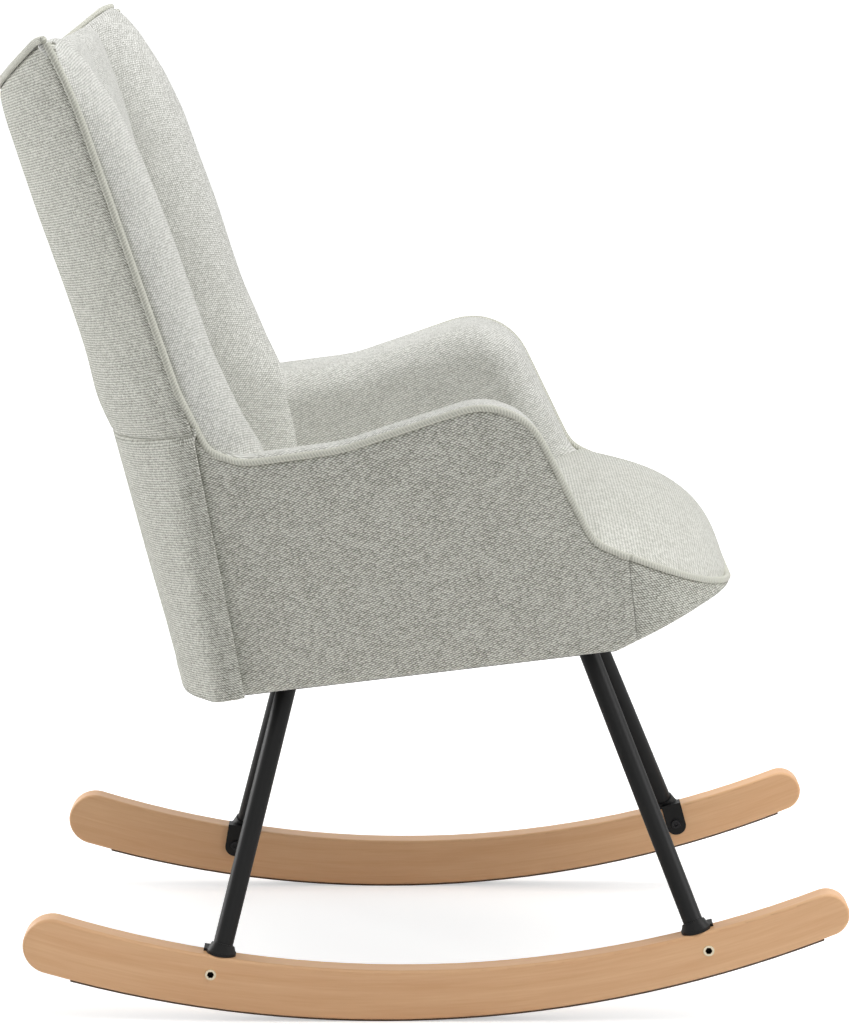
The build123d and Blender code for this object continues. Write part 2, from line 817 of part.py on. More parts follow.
with BuildPart() as arm_pad:
    pad_points, pad_radii = pad_profile()
    with BuildSketch(PROFILE.offset(arm_inner_half)):
        with BuildLine():
            FilletPolyline(*pad_points, radius=pad_radii)
            front_foot = (pad_points[-1][0], 0)
            rear_foot = (pad_points[0][0], 0)
            Polyline(pad_points[-1], front_foot, rear_foot, pad_points[0])
        make_face()
    extrude(amount=2 * cushion_crown)
    fillet(list(arm_roll_edges(arm_pad.part, (front_foot[0], rear_foot[0]))), arm_roll)
    split(bisect_by=SEAT.offset(cushion_lift), keep=Keep.TOP)
    split(bisect_by=seat_section(pad_front_u), keep=Keep.BOTTOM)
    split(bisect_by=seat_section(pad_rear_u), keep=Keep.TOP)
    split(bisect_by=under_wing, keep=Keep.BOTTOM)
    split(bisect_by=SIDE.offset(-cover_thickness - panel_clearance), keep=Keep.BOTTOM)
    add(ply_room.part, mode=Mode.SUBTRACT)
export_pair(arm_pad.part, "arm_pad")

# Nose of the seat: round corners in plan, a sloping rim at the top and the bow underneath
nose_top = (nose_u, nose_v * cos_flare)
rim_fall = atan2(arm_foot_v * cos_flare - nose_top[1], nose_u - arm_foot_u)
RIM = Plane(
    origin=SEAT.from_local_coords((nose_top[0], 0, nose_top[1])),
    x_dir=SEAT_FORWARD * cos(rim_fall) - SEAT_UP * sin(rim_fall),
    z_dir=SEAT_FORWARD * sin(rim_fall) + SEAT_UP * cos(rim_fall),
)


def rim_h(u):
    """Height of the nose's rim over the seat plane."""
    return nose_top[1] + (nose_u - u) * tan(rim_fall)


def nose_half(u, h, inset):
    """Half width of the nose at a place u and a height h, inside its outer face by an inset."""
    radius = nose_corner - inset
    past = max(0.0, u - (nose_u - nose_corner))
    return side_half_width(h, inset) - radius + sqrt(max(radius**2 - past**2, 0.0))


def nose_plan(h, inset, rear_u):
    """Plan of the nose at height h, with its two front corners round."""
    half = side_half_width(h, inset)
    front = nose_u - inset
    radius = nose_corner - inset
    corner_u = front - radius
    corner_y = half - radius
    reach = radius / sqrt(2)
    with BuildSketch(SEAT.offset(h)) as plan:
        with BuildLine():
            Polyline((corner_u, half), (rear_u, half), (rear_u, -half), (corner_u, -half))
            ThreePointArc(
                (corner_u, -half), (corner_u + reach, -corner_y - reach), (front, -corner_y)
            )
            Line((front, -corner_y), (front, corner_y))
            ThreePointArc((front, corner_y), (corner_u + reach, corner_y + reach), (corner_u, half))
        make_face()
    return plan.sketch


def under_bow(inset):
    """Region on the profile plane under the bow, with the bow moved up by an inset."""
    start = (bow_start_u, inset)
    end = (nose_u + inset, nose_top[1] + inset)
    middle = bow_middle((bow_start_u, 0), nose_top)
    foot_h = -2 * rail_height
    with BuildSketch(PROFILE) as region:
        with BuildLine():
            ThreePointArc(start, (middle[0], middle[1] + inset), end)
            Polyline(end, (2 * nose_u, end[1]), (2 * nose_u, foot_h), (-nose_u, foot_h))
            Polyline((-nose_u, foot_h), (-nose_u, inset), start)
        make_face()
    return region.sketch


def nose_block(inset, rear_u, rim_drop):
    """Solid nose inside the outer face by an inset, under the rim less a drop."""
    with BuildPart() as block:
        loft(sections=[nose_plan(h, inset, rear_u) for h in (0, cushion_crown)], ruled=True)
        extrude(under_bow(inset), amount=2 * seat_base_half_width, both=True, mode=Mode.SUBTRACT)
        split(bisect_by=RIM.offset(-rim_drop), keep=Keep.BOTTOM)
    return block.part


# Front apron: a shell round the nose, with a tongue between the side covers
with BuildPart() as side_cover_room:
    with BuildSketch(SIDE.offset(-cover_thickness - panel_clearance)):
        room_length = side_seam_u + panel_clearance
        with Locations((room_length / 2, 0)):
            Rectangle(room_length, 2 * arm_crest_v)
    extrude(amount=2 * cover_thickness)

with BuildPart() as front_apron:
    add(nose_block(0, bow_start_u, 0))
    add(nose_block(cover_thickness, bow_start_u - cover_thickness, -cover_thickness), mode=Mode.SUBTRACT)
    add(side_cover_room.part, mode=Mode.SUBTRACT)
    mirror(side_cover_room.part, about=Plane.XZ, mode=Mode.SUBTRACT)
export(front_apron.part, "front_apron")

nose_foam = nose_block(cover_thickness + panel_clearance, bow_start_u, soft_clearance)
export(nose_foam, "nose_foam")


# Seat cushion: one crowned form, cut away for the arms, with its nose on the rim
def cushion_section(u, foot_half, edge_half, foot_h, edge_h, crown_h):
    """Section across the seat with sides that bulge and a crowned top."""
    middle_h = (foot_h + edge_h) / 2
    middle_half = (foot_half + edge_half) / 2 + cushion_side_bulge
    with BuildSketch(seat_section(u)) as section:
        with BuildLine():
            Line((-foot_half, foot_h), (foot_half, foot_h))
            ThreePointArc((foot_half, foot_h), (middle_half, middle_h), (edge_half, edge_h))
            ThreePointArc((edge_half, edge_h), (0, crown_h), (-edge_half, edge_h))
            ThreePointArc((-edge_half, edge_h), (-middle_half, middle_h), (-foot_half, foot_h))
        make_face()
    return section.sketch


cushion_half = arm_inner_half - soft_clearance
cushion_front_u = pad_front_u + soft_clearance
cover_room = cover_thickness + soft_clearance + cushion_side_bulge
nose_end_u = nose_u - cover_room
arm_edge_h = rim_h(cushion_front_u)


def nose_crown_h(u):
    """Height of the cushion's middle over its nose, rolling down to the rim."""
    share = (u - cushion_front_u) / (nose_end_u - cushion_front_u)
    end_h = rim_h(nose_end_u) + nose_crown_front
    return end_h + (cushion_crown - end_h) * (1 - share**2) ** nose_fullness


def seat_part(u, edge_h, crown_h):
    """Section across the seat between its side panels."""
    edge_half = side_half_width(edge_h, cover_room)
    foot_half = side_half_width(cushion_lift, cover_room)
    return cushion_section(u, foot_half, edge_half, cushion_lift, edge_h, crown_h)


def nose_part(u):
    """Section across the nose, on its rim."""
    foot_h = rim_h(u) + soft_clearance
    edge_h = foot_h + cushion_least_edge
    half = nose_half(u, foot_h, cover_room)
    return cushion_section(u, half, half, foot_h, edge_h, nose_crown_h(u))


cushion_sections = [
    seat_part(cushion_rear_u, cushion_edge, cushion_rear_crown),
    seat_part(cushion_rear_turn_u, cushion_edge, cushion_rear_turn_crown),
    seat_part(cushion_rear_u / 2, cushion_edge, cushion_crown),
    seat_part(cushion_front_u / 2, cushion_edge, cushion_crown),
    seat_part(cushion_front_u - soft_clearance, arm_edge_h, cushion_crown),
]
nose_sections = []
for share in nose_shares:
    nose_sections.append(nose_part(cushion_front_u + share * (nose_end_u - cushion_front_u)))

with BuildPart() as seat_cushion:
    loft(sections=cushion_sections + nose_sections, ruled=True)
    cut_length = 2 * seat_base_half_width
    cut_u = cushion_front_u - cut_length / 2
    with BuildSketch(SEAT):
        with Locations((cut_u, -cushion_half - cut_length / 2), (cut_u, cushion_half + cut_length / 2)):
            Rectangle(cut_length, cut_length)
    extrude(amount=cut_length, mode=Mode.SUBTRACT)
export(seat_cushion.part, "seat_cushion")

# Back: the cover is one arc in plan, cut at the top by a plane that rises forward
TOP = Plane(
    origin=back_point(top_rear_s, back_rear_n),
    x_dir=(0, 1, 0),
    z_dir=BACK_UP * cos(radians(top_rise)) - BACK_FORWARD * sin(radians(top_rise)),
)
cover_stations = (hem_s, tip_fall_s / 2, tip_fall_s, top_rear_s, tip_s + back_cover_overrun)


def wing_half(s):
    """Half width of the back over the wings' outer edges at height s."""
    return wing_base_half + (wing_top_half - wing_base_half) * s / tip_s


def wing_front_n(s):
    """Place of the wings' outer edge, which falls back towards the tips."""
    share = max(0.0, (s - tip_fall_s) / (tip_s - tip_fall_s))
    return wing_edge_n + (tip_edge_n - wing_edge_n) * share**2


def cover_arc(s, inset):
    """Left edge, middle and right edge of the back cover at height s, moved inward by an inset."""
    half = wing_half(s) - inset
    edge_n = wing_front_n(s)
    return (-half, edge_n), (0, back_rear_n + inset), (half, edge_n)


def cover_section(s):
    """Section of the back cover at height s."""
    outer = cover_arc(s, 0)
    inner = cover_arc(s, back_cover_thickness)
    with BuildSketch(back_plane(s)) as section:
        with BuildLine():
            ThreePointArc(*outer)
            Line(outer[-1], inner[-1])
            ThreePointArc(*reversed(inner))
            Line(inner[0], outer[0])
        make_face()
    return section.sketch


with BuildPart() as back_cover:
    loft(sections=[cover_section(s) for s in cover_stations], ruled=True)
    split(bisect_by=TOP, keep=Keep.BOTTOM)
export(back_cover.part, "back_cover")


def head_block(first_x, last_x, front_n):
    """Padding over the frame's top between two widths, from the back cover to a front line."""
    s = post_top_s + panel_clearance
    room = cover_arc(s, back_cover_thickness + soft_clearance)
    with BuildSketch(back_plane(s)) as section:
        with BuildLine():
            ThreePointArc(*room)
            Line(room[-1], room[0])
        make_face()
        with Locations(((first_x + last_x) / 2, front_n - wing_top_half / 2)):
            Rectangle(last_x - first_x, wing_top_half, mode=Mode.INTERSECT)
    return section.sketch


# Wing pads
wing_edge_room = welt_diameter / 2 + wing_edge_gap
wing_seam_x = wing_seam_half + soft_clearance


def wing_back_line(s):
    """Outer and inner end of the wing pad's flat back at height s."""
    outer = (wing_half(s) - 2 * back_cover_thickness, wing_front_n(s) + wing_back_step)
    return outer, (wing_seam_x, pad_back_n)


def wing_section(s, crest_n):
    """Section of the right-hand wing pad: a roll from the inner seam over its crest to the welt."""
    half = wing_half(s)
    seam = (wing_seam_x, min(wing_seam_n, crest_n - wing_seam_drop))
    crest = (half - wing_crest_inset, crest_n)
    edge_n = min(wing_front_n(s) + wing_edge_rise, crest_n - wing_edge_drop)
    edge = (half - wing_edge_room, edge_n)
    outer, inner = wing_back_line(s)
    with BuildSketch(back_plane(s)) as section:
        with BuildLine():
            Line(inner, seam)
            TangentArc(crest, seam, tangent=(-1, 0))
            TangentArc(crest, edge, tangent=(1, 0))
            Polyline(edge, outer, inner)
        make_face()
    return section.sketch


with BuildPart() as wing_pad:
    loft(sections=[wing_section(s, crest_n) for s, crest_n in wing_crests])
    extrude(head_block(wing_seam_x, wing_top_half, wing_seam_n), amount=tip_s - post_top_s)
    split(bisect_by=TOP.offset(-top_recess), keep=Keep.BOTTOM)
export_pair(wing_pad.part, "wing_pad")


# Wing boards: plywood behind the wing pads, from the posts to the wings' edges
def wing_board_section(s):
    """Section of the right-hand wing board at height s."""
    outer, inner = wing_back_line(s)
    slope = (outer[1] - inner[1]) / (outer[0] - inner[0])
    step = 1 / cos(atan2(slope, 1))
    root = post_inner_half + post_width
    end = wing_half(s) - wing_board_inset
    front = [(x, inner[1] + slope * (x - inner[0]) - wing_board_room * step) for x in (root, end)]
    rear = [(x, n - wing_board_thickness * step) for x, n in reversed(front)]
    with BuildSketch(back_plane(s)) as section:
        with BuildLine():
            Polyline(*front, *rear, close=True)
        make_face()
    return section.sketch


with BuildPart() as wing_board:
    board_ends = (hem_s + wing_board_lift, post_top_s)
    loft(sections=[wing_board_section(s) for s in board_ends], ruled=True)
export_pair(wing_board.part, "wing_board")


# Back pad, quilted in rows and columns
def pad_section(s, column_n, edge_n, pillow):
    """Section of the back pad: three pillows between two stitched columns."""
    stops = [-wing_seam_half, -quilt_column, quilt_column, wing_seam_half]
    depths = [edge_n, column_n, column_n, edge_n]
    with BuildSketch(back_plane(s)) as section:
        with BuildLine():
            Line((wing_seam_half, pad_back_n), (-wing_seam_half, pad_back_n))
            Line((-wing_seam_half, pad_back_n), (-wing_seam_half, edge_n))
            for i in range(3):
                middle = ((stops[i] + stops[i + 1]) / 2, (depths[i] + depths[i + 1]) / 2 + pillow)
                ThreePointArc((stops[i], depths[i]), middle, (stops[i + 1], depths[i + 1]))
            Line((wing_seam_half, edge_n), (wing_seam_half, pad_back_n))
        make_face()
    return section.sketch


pad_foot_s = quilt_rows[0] - pad_foot_drop
row_gap = quilt_rows[1] - quilt_rows[0]
seam_look = (quilt_depth_n, wing_seam_n - quilt_rise, quilt_seam_pillow)
pillow_look = (quilt_depth_n + quilt_rise, wing_seam_n, quilt_pillow)
rim_look = (pad_back_n + pad_rim_rise, pad_back_n + pad_rim_edge_rise, quilt_seam_pillow)
pad_stations = [(pad_foot_s, rim_look)]
for row in quilt_rows:
    pad_stations += [(row, seam_look), (row + row_gap / 2, pillow_look)]
pad_stations += [(tip_s, rim_look)]
with BuildPart() as back_pad:
    loft(sections=[pad_section(s, *look) for s, look in pad_stations])
    head = head_block(-wing_seam_half, wing_seam_half, pad_back_n + pad_head_rise)
    extrude(head, amount=tip_s - post_top_s)
    split(bisect_by=TOP.offset(-top_recess), keep=Keep.BOTTOM)
export(back_pad.part, "back_pad")

# Posts and rails of the back
with BuildPart() as back_post:
    with BuildSketch(back_plane(post_foot_s)):
        with Locations((blade_x, (post_rear_n + post_front_n) / 2)):
            Rectangle(post_width, post_front_n - post_rear_n)
    extrude(amount=post_top_s - post_foot_s)
    for hole_radius, places in ((bolt_hole_radius, blade_bolts_s), (screw_hole_radius, blade_screws_s)):
        for s in places:
            with BuildSketch(back_bore_plane(s, post_rear_n)):
                with Locations((-blade_x, 0)):
                    Circle(hole_radius)
            extrude(amount=post_front_n - post_rear_n, mode=Mode.SUBTRACT)
export_pair(back_post.part, "back_post")

for label, foot_s in (("back_lower_rail", lower_rail_s), ("back_top_rail", post_top_s - back_rail_height)):
    with BuildPart() as back_rail:
        with BuildSketch(back_plane(foot_s)):
            with Locations((0, (post_rear_n + post_front_n) / 2)):
                Rectangle(2 * post_inner_half, post_front_n - post_rear_n)
        extrude(amount=back_rail_height)
    export(back_rail.part, label)

# Elastic webbing across the back
with BuildPart() as back_webbing:
    for i in range(webbing_count):
        with BuildSketch(back_plane(webbing_first_s + i * webbing_pitch)):
            with Locations((0, post_front_n + webbing_thickness / 2)):
                Rectangle(2 * (post_inner_half + post_width - webbing_inset), webbing_thickness)
        extrude(amount=webbing_width)
export(back_webbing.part, "back_webbing")

# Blade brackets that join the back to the seat, with their bolts and screws
with BuildPart() as back_blade:
    with BuildSketch(back_plane(post_foot_s)):
        with Locations((blade_x, post_front_n + blade_thickness / 2)):
            Rectangle(blade_width, blade_thickness)
    extrude(amount=blade_top_s - post_foot_s)
    for hole_radius, places in ((bolt_hole_radius, blade_bolts_s), (screw_hole_radius, blade_screws_s)):
        for s in places:
            with BuildSketch(back_bore_plane(s, post_front_n)):
                with Locations((-blade_x, 0)):
                    Circle(hole_radius)
            extrude(amount=blade_thickness, mode=Mode.SUBTRACT)
export_pair(back_blade.part, "back_blade")

with BuildPart() as back_bolts:
    for s in blade_bolts_s:
        with BuildSketch(back_bore_plane(s, post_rear_n)):
            with Locations((-blade_x, 0), (blade_x, 0)):
                Circle(bolt_head_diameter / 2)
        extrude(amount=-bolt_head_height, taper=bolt_head_taper)
        with BuildSketch(back_bore_plane(s, post_rear_n)):
            with Locations((-blade_x, 0), (blade_x, 0)):
                Circle(bolt_diameter / 2)
        extrude(amount=rear_rail_front_n - post_rear_n)
export(back_bolts.part, "back_bolts")

with BuildPart() as back_screws:
    for s in blade_screws_s:
        with BuildSketch(back_bore_plane(s, blade_front_n)):
            with Locations((-blade_x, 0), (blade_x, 0)):
                Circle(screw_head_diameter / 2)
        extrude(amount=screw_head_height, taper=screw_head_taper)
        with BuildSketch(back_bore_plane(s, blade_front_n)):
            with Locations((-blade_x, 0), (blade_x, 0)):
                Circle(screw_diameter / 2)
        extrude(amount=-screw_length)
export(back_screws.part, "back_screws")

# Rear flap, and the cover and tapes under it
def rear_curve(half, edge_n, rear_n):
    """Points of a rear curve from edge to edge: a flat arc with a tighter arc at each corner."""
    start_half = half - flap_corner_width
    start_n = rear_n + flap_radius - sqrt(flap_radius**2 - start_half**2)
    start_angle = asin(start_half / flap_radius)
    chord = hypot(flap_corner_width, edge_n - start_n)
    chord_angle = atan2(edge_n - start_n, flap_corner_width)
    sag = chord / 2 * tan((chord_angle - start_angle) / 2)
    middle = (
        (start_half + half) / 2 + sag * sin(chord_angle),
        (start_n + edge_n) / 2 - sag * cos(chord_angle),
    )
    right = [(start_half, start_n), middle, (half, edge_n)]
    left = [(-x, n) for x, n in reversed(right)]
    return left + [(0, rear_n)] + right


def draw_curve(points):
    """Draws the three arcs of a rear curve."""
    ThreePointArc(*points[0:3])
    ThreePointArc(*points[2:5])
    ThreePointArc(*points[4:7])


def band_section(s, half, edge_n, rear_n, thickness):
    """Section of a cloth at height s: a band along a rear curve."""
    outer = rear_curve(half, edge_n, rear_n)
    inner = rear_curve(half - thickness, edge_n, rear_n + thickness)
    with BuildSketch(back_plane(s)) as section:
        with BuildLine():
            draw_curve(outer)
            Line(outer[-1], inner[-1])
            draw_curve(list(reversed(inner)))
            Line(inner[0], outer[0])
        make_face()
    return section.sketch


flap_top_s = hem_s - flap_gap


def flap_shape(s):
    """Half width, edge and rear of the flap's outer face at height s."""
    share = (s - flap_top_s) / (flap_foot_s - flap_top_s)
    half = flap_top_half + (flap_foot_half - flap_top_half) * share
    edge_n = flap_top_edge_n + (flap_foot_edge_n - flap_top_edge_n) * share
    rear_n = flap_top_rear_n + (flap_foot_rear_n - flap_top_rear_n) * share
    return half, edge_n, rear_n


def rear_cover_section(s):
    """Section of the seat's rear cover, inside the flap."""
    half, edge_n, rear_n = flap_shape(s)
    return band_section(
        s, half - rear_cover_side_gap, edge_n, rear_n + rear_cover_gap, rear_cover_thickness
    )


def tape_section(s, rear_n):
    """Section of a tape that lies along the rear curve's flat arc."""
    edge_n = rear_n + flap_radius - sqrt(flap_radius**2 - tape_half_length**2)
    ends = [(-tape_half_length, edge_n), (tape_half_length, edge_n)]
    lifted = [(x, n + tape_thickness) for x, n in ends]
    with BuildSketch(back_plane(s)) as section:
        with BuildLine():
            ThreePointArc(ends[0], (0, rear_n), ends[1])
            Line(ends[1], lifted[1])
            ThreePointArc(lifted[1], (0, rear_n + tape_thickness), lifted[0])
            Line(lifted[0], ends[0])
        make_face()
    return section.sketch


with BuildPart() as rear_flap:
    loft(sections=[band_section(s, *flap_shape(s), flap_thickness) for s in (flap_top_s, flap_foot_s)])
export(rear_flap.part, "rear_flap")

with BuildPart() as seat_rear_cover:
    loft(sections=[rear_cover_section(s) for s in (flap_top_s - rear_cover_top_drop, rear_cover_foot_s)])
    split(bisect_by=seat_section(ply_rear_u - panel_clearance), keep=Keep.BOTTOM)
export(seat_rear_cover.part, "seat_rear_cover")

tape_ends = (tape_foot_s, tape_foot_s + tape_width)
with BuildPart() as flap_hook_tape:
    loft(
        sections=[
            tape_section(s, flap_shape(s)[2] + flap_thickness + seat_clearance) for s in tape_ends
        ]
    )
export(flap_hook_tape.part, "flap_hook_tape")

with BuildPart() as rear_loop_tape:
    loft(
        sections=[
            tape_section(s, flap_shape(s)[2] + rear_cover_gap - tape_thickness - seat_clearance)
            for s in tape_ends
        ]
    )
export(rear_loop_tape.part, "rear_loop_tape")

# Welt cords along the arms, the wings and the front of the seat
welt_radius = welt_diameter / 2
welt_lift = welt_radius + seat_clearance


def at_seam(a, b):
    """Point of the line from a to b at the side seam."""
    share = (side_seam_u - welt_end_gap - a[0]) / (b[0] - a[0])
    return (a[0] + share * (b[0] - a[0]), a[1] + share * (b[1] - a[1]))


with BuildPart() as arm_welt:
    with BuildLine(SIDE.offset(-cover_thickness / 2)) as arm_welt_path:
        welt_points, welt_radii = arm_line(welt_lift)
        welt_points[-1] = at_seam(*welt_points[-2:])
        FilletPolyline(*welt_points, radius=welt_radii)
    arm_welt_wire = arm_welt_path.wires()[0]
    with BuildSketch(Plane(origin=arm_welt_wire @ 0, z_dir=arm_welt_wire % 0)):
        Circle(welt_radius)
    sweep(path=arm_welt_wire)
export_pair(arm_welt.part, "arm_welt")


def wing_welt_point(s, edge_n):
    """Point of the right-hand wing's welt at height s, in front of an edge."""
    return back_plane(s).from_local_coords((wing_half(s) - back_cover_thickness / 2, edge_n + welt_lift, 0))


with BuildPart() as wing_welt:
    with BuildLine() as wing_welt_path:
        bend_s = (tip_fall_s + tip_s) / 2
        end_s = tip_s - welt_diameter
        end_n = wing_edge_n + (tip_edge_n - wing_edge_n) * (end_s - bend_s) / (tip_s - bend_s)
        wing_welt_points = [
            wing_welt_point(hem_s, wing_edge_n),
            wing_welt_point(bend_s, wing_edge_n),
            wing_welt_point(end_s, end_n),
        ]
        rise = wing_welt_points[1] - wing_welt_points[0]
        fall = wing_welt_points[2] - wing_welt_points[1]
        bend_room = fall.length - welt_end_gap
        most_radius = bend_room / tan(radians(rise.get_angle(fall)) / 2)
        FilletPolyline(*wing_welt_points, radius=min(welt_bend_radius, most_radius))
    wing_welt_wire = wing_welt_path.wires()[0]
    with BuildSketch(Plane(origin=wing_welt_wire @ 0, z_dir=wing_welt_wire % 0)):
        Circle(welt_radius)
    sweep(path=wing_welt_wire)
export_pair(wing_welt.part, "wing_welt")


def top_welt_point(x_share):
    """Point of the top welt over the back cover's edge, on its right-hand side."""
    half = wing_half(tip_s) - back_cover_thickness / 2
    n = tip_edge_n - welt_diameter if x_share else back_rear_n + back_cover_thickness / 2
    rise = (n - back_rear_n) * tan(radians(top_rise))
    return back_plane(top_rear_s + rise).from_local_coords((half * x_share, n, 0)) + TOP.z_dir * welt_lift


with BuildPart() as top_welt:
    with BuildLine() as top_welt_path:
        ThreePointArc(top_welt_point(-1), top_welt_point(0), top_welt_point(1))
    top_welt_wire = top_welt_path.wires()[0]
    with BuildSketch(Plane(origin=top_welt_wire @ 0, z_dir=top_welt_wire % 0)):
        Circle(welt_radius)
    sweep(path=top_welt_wire)
export(top_welt.part, "top_welt")

front_welt_depth = cover_thickness / 2


def front_welt_point(u):
    """Point of the front welt over the rim, on its right-hand side."""
    h = rim_h(u)
    return SEAT.from_local_coords((u, -nose_half(u, h, front_welt_depth), h)) + RIM.z_dir * welt_lift


front_welt_end_u = nose_u - front_welt_depth
front_welt_points = [front_welt_point(side_seam_u + welt_end_gap)]
for turn in range(1, front_welt_turns):
    angle = radians(90 * turn / front_welt_turns)
    corner_u = front_welt_end_u - (nose_corner - front_welt_depth) * (1 - sin(angle))
    front_welt_points.append(front_welt_point(corner_u))
front_welt_points.append(front_welt_point(front_welt_end_u))
front_welt_points += [Vector(p.X, -p.Y, p.Z) for p in reversed(front_welt_points)]
with BuildPart() as front_welt:
    with BuildLine() as front_welt_path:
        Spline(*front_welt_points)
    front_welt_wire = front_welt_path.wires()[0]
    with BuildSketch(Plane(origin=front_welt_wire @ 0, z_dir=front_welt_wire % 0)):
        Circle(welt_radius)
    sweep(path=front_welt_wire)
export(front_welt.part, "front_welt")
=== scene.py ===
"""Looks of the wing-back rocking chair: woven cloth, welts, wood, steel and a plain studio."""

import json
import math

import bpy
import numpy as np
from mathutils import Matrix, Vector, noise


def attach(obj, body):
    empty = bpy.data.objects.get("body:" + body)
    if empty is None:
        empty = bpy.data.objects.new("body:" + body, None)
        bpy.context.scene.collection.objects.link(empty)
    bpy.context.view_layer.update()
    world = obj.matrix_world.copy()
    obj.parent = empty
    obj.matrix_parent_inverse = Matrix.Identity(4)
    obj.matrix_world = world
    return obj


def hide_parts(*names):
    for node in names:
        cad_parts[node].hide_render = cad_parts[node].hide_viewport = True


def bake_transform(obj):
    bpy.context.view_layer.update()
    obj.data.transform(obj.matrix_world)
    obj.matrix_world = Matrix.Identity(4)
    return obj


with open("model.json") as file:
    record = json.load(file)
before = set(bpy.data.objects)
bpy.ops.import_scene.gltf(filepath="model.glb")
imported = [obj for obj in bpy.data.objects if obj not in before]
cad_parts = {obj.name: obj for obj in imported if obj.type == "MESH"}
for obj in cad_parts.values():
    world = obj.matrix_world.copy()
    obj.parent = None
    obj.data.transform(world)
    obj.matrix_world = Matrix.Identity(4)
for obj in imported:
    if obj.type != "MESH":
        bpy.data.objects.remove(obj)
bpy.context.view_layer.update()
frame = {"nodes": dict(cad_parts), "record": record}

# Sizes in millimetres, the main ones as in the CAD; a roll is a depth and a width at a seam
MM = 0.001

# Seat and sides
seat_z = 363.5
seat_tilt = math.radians(7)
flare = math.radians(13)
seat_half = 245.0
side_rear_u = -184.0
side_seam_u = 216.0
arm_corners = ((-184, 283), (-152, 245), (-45, 247), (126, 284), (183, 118), (316.5, 41.5))
arm_radii = (45, 150, 62, 35)
bow_points = ((196, 0), (256.25, 22.75), (316.5, 41.5))
nose_u = 316.5
nose_h = 40.4
nose_corner = 100.0
front_bow = 4.5
front_bow_half = 190.0
front_bow_start_u = 230.0
rim_slope = 0.5584
panel_thickness = 4.5
side_fullness = 2.6
side_ripple = 0.9

# Front apron
apron_points = 161
apron_fold = 11.0
apron_tuck_u = 190.0
apron_tuck_height = 12.0
apron_tuck_inset = 6.5
apron_cheek_end = (60, 140)
apron_top_roll = (3.5, 7)
apron_most_drawn = 5.0

# Arm pads
arm_inner = 226.0
arm_roll = 34.0
arm_start_u = -181.0
arm_stop_u = 208.0
arm_foot_u = 188.0
arm_foot_h = 74.0
arm_welt_inset = 3.0
arm_crest = 12.0
arm_fullness = 2.0
arm_crown_u = (-150, 0, 110, 182, 204)
arm_crown = (8.5, 7.5, 4.5, 2.5, -4.0)

# Cushion
cushion_rear_u = (-165, -166, -160, -132, -82.5, 0, 97, 194.5)
cushion_rear_h = (70, 96, 110, 125, 130, 131.5, 132, 130.5)
cushion_edge_u = (97, 194.5)
cushion_edge_h = (76, 109)
cushion_front_u = 194.5
cushion_end_u = 315.5
cushion_crown = 130.5
cushion_base_h = 62.0
cushion_inset = 4.5
cushion_arm_inset = 4.0
cushion_arm_u = (176, 196)
cushion_skirt = 14.0
cushion_gap = 0.6
cushion_wide_u = (128, 186)
cushion_side_roll = (9, 16)
cushion_ripple = 1.3

# Back and its pad
back_x = -295.5
back_z = 600.0
back_tilt = math.radians(18)
hem_s = -12.0
tip_s = 387.0
tip_fall = 6.0
tip_reach = 24.0
top_rear_s = 346.0
top_rise = math.radians(23)
top_drop = 1.5
top_ease = 42.0
back_rear_n = -26.4
back_pad_foot_s = -215.0
back_pad_end_s = 430.0
back_pad_seam_n = 57.5
back_pad_rear_n = 38.5
back_pad_rear_s = 337.0
back_pad_tuck = 22.0
back_pad_tuck_run = 25.0
back_pad_roll = (5, 12)
back_pad_end_arc = (332.0, 72.0)
column_fullness = 3.5
row_fullness = 2.0
square_fullness = 7.5
quilt_columns = (-206, -68, 68, 206)
quilt_rows = (-290, -120, 50, 220, 390)

# Back cover
cover_fullness = 1.8
hem_swell = 4.2
hem_swell_s = 22.0
hem_swell_reach = 34.0
cover_ripple = 0.9
cover_hem_roll = (3, 5)
cover_edge_roll = (4, 9)
cover_top_roll = (7, 42)
cover_top_drop = 0.5
cover_thickness = 5.0

# Wings
wing_seam_x = 206.0
wing_foot_half = 314.0
wing_spread = 21.0
wing_edge = 77.0
wing_bend_s = 293.0
wing_bend_run = 94.0
wing_bend_fall = 8.0
wing_end_s = 440.0
wing_end_arc = (333.0, 71.0)
wing_foot_end_s = 15.0
wing_edge_room = 5.0
wing_seam_roll = (4, 9)
wing_thickness = 8.0
wing_crest_s = (-240, -160, -110, -61, -40, -12, 56, 155, 254, 304, 353, 395, 430)
wing_crest_n = (104, 118, 126, 134, 131, 126, 120, 120, 117, 110, 97, 79, 63)
wing_foot_s = (-240, -160, -56, -44, -25, -10, 15, 40)
wing_foot_edge_n = (112, 126, 120, 97, 88, 84, 82, 82)
wing_foot_edge_inset = (60, 46, 20, 17, 11, 7, 5.2, 5.2)
wing_foot_crest_inset = (86, 84, 74, 69, 63, 58, 53, 52)
wing_seam_n = 44.0

# Flap and rear cover
flap_top_s = -12.3
flap_foot_s = -281.0
flap_radius = 560.0
flap_corner = 30.0
flap_half = (315.0, 255.5)
flap_edge_n = (81.0, 39.0)
flap_rear_n = (-29.0, -46.0)
flap_thickness = 2.0
flap_wave = 1.6
flap_wave_run = 27.0
flap_hem = 14.0
flap_hem_fold = 1.6
flap_stitch = 1.2
flap_tuck = 7.0
flap_ripple = 0.8
flap_bend = (2.0, 40.0)
rear_cover_s = (-16.3, -274.0)
rear_cover_inset = 14.3
rear_cover_gap = 6.0
rear_cover_front_u = -182.3

